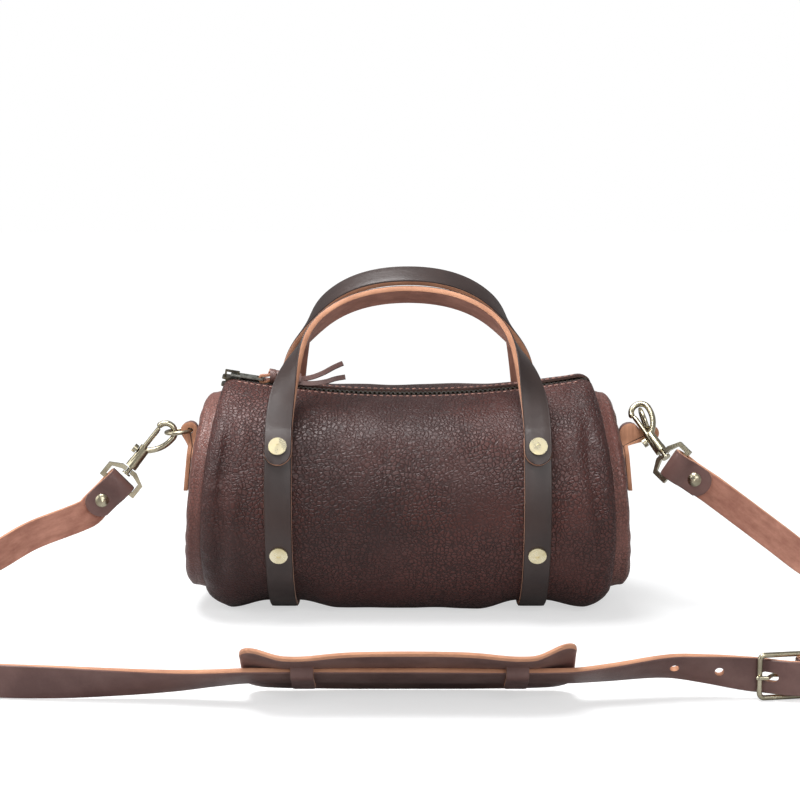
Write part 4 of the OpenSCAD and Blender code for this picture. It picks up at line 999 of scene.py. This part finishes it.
def make_pad():
    """The long flat pad, thinner towards its edge, and the two bridges that hold it on the strap."""
    long_ways, across = 120, 40
    points, faces, marks, uvs = [], [], [], []
    for side in (1, -1):
        for i in range(long_ways + 1):
            u = -1 + 2 * i / long_ways
            u = math.copysign(1 - (1 - abs(u)) ** 1.3, u)
            x = u * PAD_L / 2
            for k in range(across + 1):
                v = -1 + 2 * k / across
                w = v * pad_half_width(u)
                edge = min(1.0, (1 - abs(v)) / 0.05 + 0.35, (1 - abs(u)) / 0.012 + 0.35)
                base = PAD_MID + X * x + PAD_UP * (w * PAD_W / 2) - PAD_FACE * pad_lift(x, v)
                points.append(base + PAD_FACE * (side * PAD_T / 2 * edge))
                uvs.append((x * MM, w * PAD_W / 2 * MM))
    row = across + 1
    under = row * (long_ways + 1)
    for i in range(long_ways):
        for k in range(across):
            a = i * row + k
            b = a + under
            faces += [(a, a + 1, a + row + 1, a + row), (b, b + row, b + row + 1, b + 1)]
            rim = k in (0, across - 1) or i in (0, long_ways - 1)
            marks += [1, 1] if rim else [0, 2]
    foot, top = [i * row for i in range(long_ways + 1)], [i * row + across for i in range(long_ways)]
    near_end, far_end = list(range(across - 1, 0, -1)), [long_ways * row + k for k in range(1, row)]
    rim_loop = foot + far_end + top[::-1] + near_end
    for a, b in zip(rim_loop, rim_loop[1:] + rim_loop[:1]):
        faces.append((a, b, b + under, a + under))
        marks.append(1)
    pad = make_piece("shoulder_pad_leather", points, faces, STRAP_LEATHER, marks, uvs, 50)
    finish_piece(pad, "pad", "pad_leather", "shoulder_pad")
    high, low = PAD_T / 2 + STRAP_T + 0.6 + PAD_T * 0.42, PAD_T * 0.35
    hump = [(-14.6, low - 0.8), (-12.4, low), (-10.4, low + 1.9), (-9.2, high - 0.6), (-7.6, high),
            (0, high + 0.15), (7.6, high), (9.2, high - 0.6), (10.8, low + 1.7), (13.0, low),
            (15.4, low - 0.8)]
    for name, x in (("left_pad_bridge", 1.6 - BRIDGE_X), ("right_pad_bridge", BRIDGE_X)):
        stops = [(PAD_MID + X * x + PAD_UP * v + PAD_FACE * (lift - pad_lift(x, v / (PAD_W / 2))), X, 1)
                 for v, lift in hump]
        frames = strap_frames(smooth_stops(stops, 0.8), outward=-1)
        finish_piece(sweep_strap(name, frames, BRIDGE_W, PAD_T * 0.8, STRAP_LEATHER), "pad", "pad_leather")


# ---- keeper
def make_keeper():
    """The leather loop that holds the strap's tip."""
    low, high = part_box("keeper")
    centre = Vector([(a + b) / 2 for a, b in zip(low, high)]) * 1000
    size = Vector([b - a for a, b in zip(low, high)]) * 1000
    thick, corner, half_width = 1.6, 1.6, 4.5
    ry, rz = size.y / 2 - thick / 2 - corner, size.z / 2 - thick / 2 - corner
    n, points, faces, marks, uvs = len(SECTION), [], [], [], []
    for cy, cz, start in ((1, 1, 0), (-1, 1, 90), (-1, -1, 180), (1, -1, 270)):
        for turn in range(start, start + 91, 15):
            c, s = math.cos(math.radians(turn)), math.sin(math.radians(turn))
            p, out = Vector((0, cy * ry + corner * c, cz * rz + corner * s)), Vector((0, c, s))
            for across, lift, _ in SECTION:
                uvs.append((len(points) // n * 0.002, across * half_width * MM))
                points.append(centre + p + X * (across * half_width) + out * (lift * thick / 2))
    for ring in range(0, len(points), n):
        faces += tube_faces(ring, (ring + n) % len(points), n)
        marks += SECTION_MARKS
    keeper = make_piece("keeper_leather", points, faces, STRAP_LEATHER, marks, uvs, 40)
    finish_piece(keeper, "bag", "strap_leather", "keeper")


# ---- zip pull's thong
SLIDER_ANGLE = -math.asin(CHAIN_HALF / ZIP_ARC) * 0.985
# the tails from the knot: along, to the back and up, in parts of 20, 10 and 5 mm
THONG_TAILS = (
    [(0.1, 0, 0), (0.5, 0.02, 0.05), (0.9, 0.05, 0.15), (1.2, 0.06, 0.5), (1.5, 0.16, 1.15),
     (1.75, 0.22, 1.9), (1.98, 0.25, 2.5)],
    [(0.1, -0.05, -0.1), (0.6, -0.1, -0.15), (0.9, -0.09, -0.2), (1.25, -0.03, -0.12), (1.6, 0.1, 0.25),
     (1.85, 0.19, 0.7), (2.1, 0.2, 1.05)])


def on_chain(x, y, z):
    """A point given along the chain, to the back and up from the slider, in the bag's frame."""
    along = X * math.cos(SLIDER_ANGLE) + ZIP_UP * math.sin(SLIDER_ANGLE)
    up = ZIP_UP * math.cos(SLIDER_ANGLE) - X * math.sin(SLIDER_ANGLE)
    return ZIP_CENTRE - up * ZIP_ARC + along * x - ZIP_FRONT * y + up * z


def make_thong():
    """The lace through the pull's hole, the wraps that bind it and its two cut tails."""
    knot_x, knot_z, pin_z, hole_x, drop = 18.5, 6.3, 4.1, 14.95, 1.5
    wraps, turns, per_turn = [], 4.5, 20
    for k in range(int(turns * per_turn) + 1):
        a = 2 * math.pi * k / per_turn
        x = knot_x + 2 + 15.5 * k / (turns * per_turn)
        r = 3.0 + 0.25 * math.sin(a * 0.5)
        point = on_chain(x, r * math.cos(a), knot_z + r * math.sin(a))
        wraps.append((point, on_chain(x + 1, 0, knot_z) - on_chain(x, 0, knot_z), 1))
    pieces = [sweep_strap("thong_wrap", strap_frames(wraps), 3.3, 1.5, STRAP_LEATHER)]
    for number, tail in enumerate(THONG_TAILS, 1):
        stops = [(on_chain(knot_x + a * 20, b * 10, knot_z + c * 5), -ZIP_FRONT * 0.35 + ZIP_UP, 1)
                 for a, b, c in tail]
        frames = strap_frames(smooth_stops(stops, 1))
        pieces.append(sweep_strap("thong_tail_%d" % number, frames, 2.7, 2.1, [STRAP, DARK_EDGE, FLESH]))
    loop = [(knot_x + 3, 0, knot_z + 0.8), (knot_x - 0.4, 0, pin_z + drop + 0.5),
            (hole_x + 0.4, 0, pin_z + drop * 0.9), (hole_x, 0, pin_z), (hole_x + 0.4, 0, pin_z - drop * 0.95),
            (knot_x - 0.4, 0, pin_z - drop), (knot_x + 3, 0, knot_z - 1.4)]
    frames = strap_frames(smooth_stops([(on_chain(*p), -ZIP_FRONT, 1) for p in loop], 0.6))
    pieces.append(sweep_strap("thong_loop", frames, 2.2, 1.3, [FLESH, CUT, FLESH]))
    for piece in pieces:
        finish_piece(piece, "pull", "thong_leather")
    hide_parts("zip_thong")


# ---- CAD pieces that stay
FINISHES = (
    (BRASS, "top_rivets lower_rivets rivet_washers"),
    (PULL_METAL, "zip_pull"),
    (DARK_BRASS, "zip_slider zip_teeth_front zip_teeth_back zip_stops"),
    (OLD_BRASS, "strap_rivets left_ring right_ring left_hook right_hook left_gate right_gate left_gate_spring"
                " right_gate_spring left_eye right_eye buckle_frame buckle_prong"),
    (TAPE, "zip_tape_front zip_tape_back"))
ROUNDED_BY = (
    (0.15, "zip_stops"), (0.2, "strap_rivets"), (0.22, "zip_teeth_front zip_teeth_back"),
    (0.25, "top_rivets lower_rivets zip_slider zip_pull left_gate right_gate"),
    (0.3, "left_hook right_hook"), (0.9, "left_eye right_eye"))


def dress_cad():
    """Gives the metal and cloth solids their finishes, and rounds the metal's edges."""
    for material, nodes in FINISHES:
        for node in nodes.split():
            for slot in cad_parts[node].material_slots:
                slot.material = material
    for width, nodes in ROUNDED_BY:
        for node in nodes.split():
            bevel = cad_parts[node].modifiers.new("rounded edges", "BEVEL")
            bevel.width, bevel.segments = width * MM, 3
            bevel.limit_method, bevel.angle_limit = "ANGLE", math.radians(40)


# ---- studio
AMBIENT, FLOOR_GLOW = 0.32, 0.58    # the world's light on the bag; the near floor's own, for the camera
FLOOR_FADES, FLOOR_GREY = (0.4, 1.1), (0.46, 0.465, 0.47, 1)    # metres from the middle; linear colour


def make_floor():
    """A plain floor that takes the bag's shadow near it and is plain white further off."""
    mesh = bpy.data.meshes.new("floor")
    mesh.from_pydata([(-6, -4, 0), (6, -4, 0), (6, 8, 0), (-6, 8, 0)], [], [(0, 1, 2, 3)])
    material, tree, shader = new_material("studio_floor")
    away = add(tree, "VectorMath", operation="LENGTH", Vector=coordinates(tree))
    far = ramp(tree, away.outputs["Value"], *FLOOR_FADES)
    rays = add(tree, "LightPath")
    near_glow = math_node(tree, "MULTIPLY", math_node(tree, "SUBTRACT", 1.0, far), FLOOR_GLOW)
    seen = math_node(tree, "MULTIPLY", rays.outputs["Is Camera Ray"], near_glow)
    for ray in ("Is Camera Ray", "Is Glossy Ray", "Is Transmission Ray"):
        seen = math_node(tree, "ADD", seen, math_node(tree, "MULTIPLY", rays.outputs[ray], far))
    set_values(tree, shader, Base_Color=blend_colour(tree, far, FLOOR_GREY, (0.0, 0.0, 0.0, 1)),
               Roughness=0.6, Specular_IOR_Level=0.2, Emission_Color=(1, 1, 1, 1), Emission_Strength=seen)
    mesh.materials.append(material)
    put_in_scene("floor", mesh)


def make_light(name, size, power, at, toward):
    data = bpy.data.lights.new(name, "AREA")
    data.shape, data.size, data.size_y, data.energy = "RECTANGLE", size[0], size[1], power
    light = put_in_scene(name, data)
    light.location = at
    light.rotation_euler = (Vector(toward) - Vector(at)).to_track_quat("-Z", "Y").to_euler()


def make_studio():
    """White surroundings that light the bag softly, three softboxes and the floor."""
    world = bpy.data.worlds.new("studio")
    bpy.context.scene.world = world
    world.use_nodes = True
    tree = world.node_tree
    rays = add(tree, "LightPath").outputs
    seen = math_node(tree, "MAXIMUM", rays["Is Camera Ray"], rays["Is Transmission Ray"])
    set_values(tree, tree.nodes["Background"], Color=(1, 1, 1, 1),
               Strength=ramp(tree, seen, 0.0, 1.0, low_to=AMBIENT))
    make_light("top softbox", (0.9, 0.6), 22, (-0.3, -0.15, 1.25), (0, 0, 0))
    make_light("front softbox", (1.0, 0.7), 13, (0.45, -1.7, 0.9), (0, 0, 0.05))
    make_light("left softbox", (0.8, 1.0), 9, (-1.4, -0.5, 0.7), (0, 0, 0.08))
    make_floor()


make_camera()
make_straps()
make_body()
make_end("left_end_leather", -1, "left_end_panel")
make_end("right_end_leather", 1, "right_end_panel")
make_stitches()
make_bands()
make_handles()
make_tabs()
make_gate_tips()
make_pad()
make_keeper()
make_thong()
dress_cad()
make_studio()
bpy.context.scene.view_settings.view_transform = "Standard"
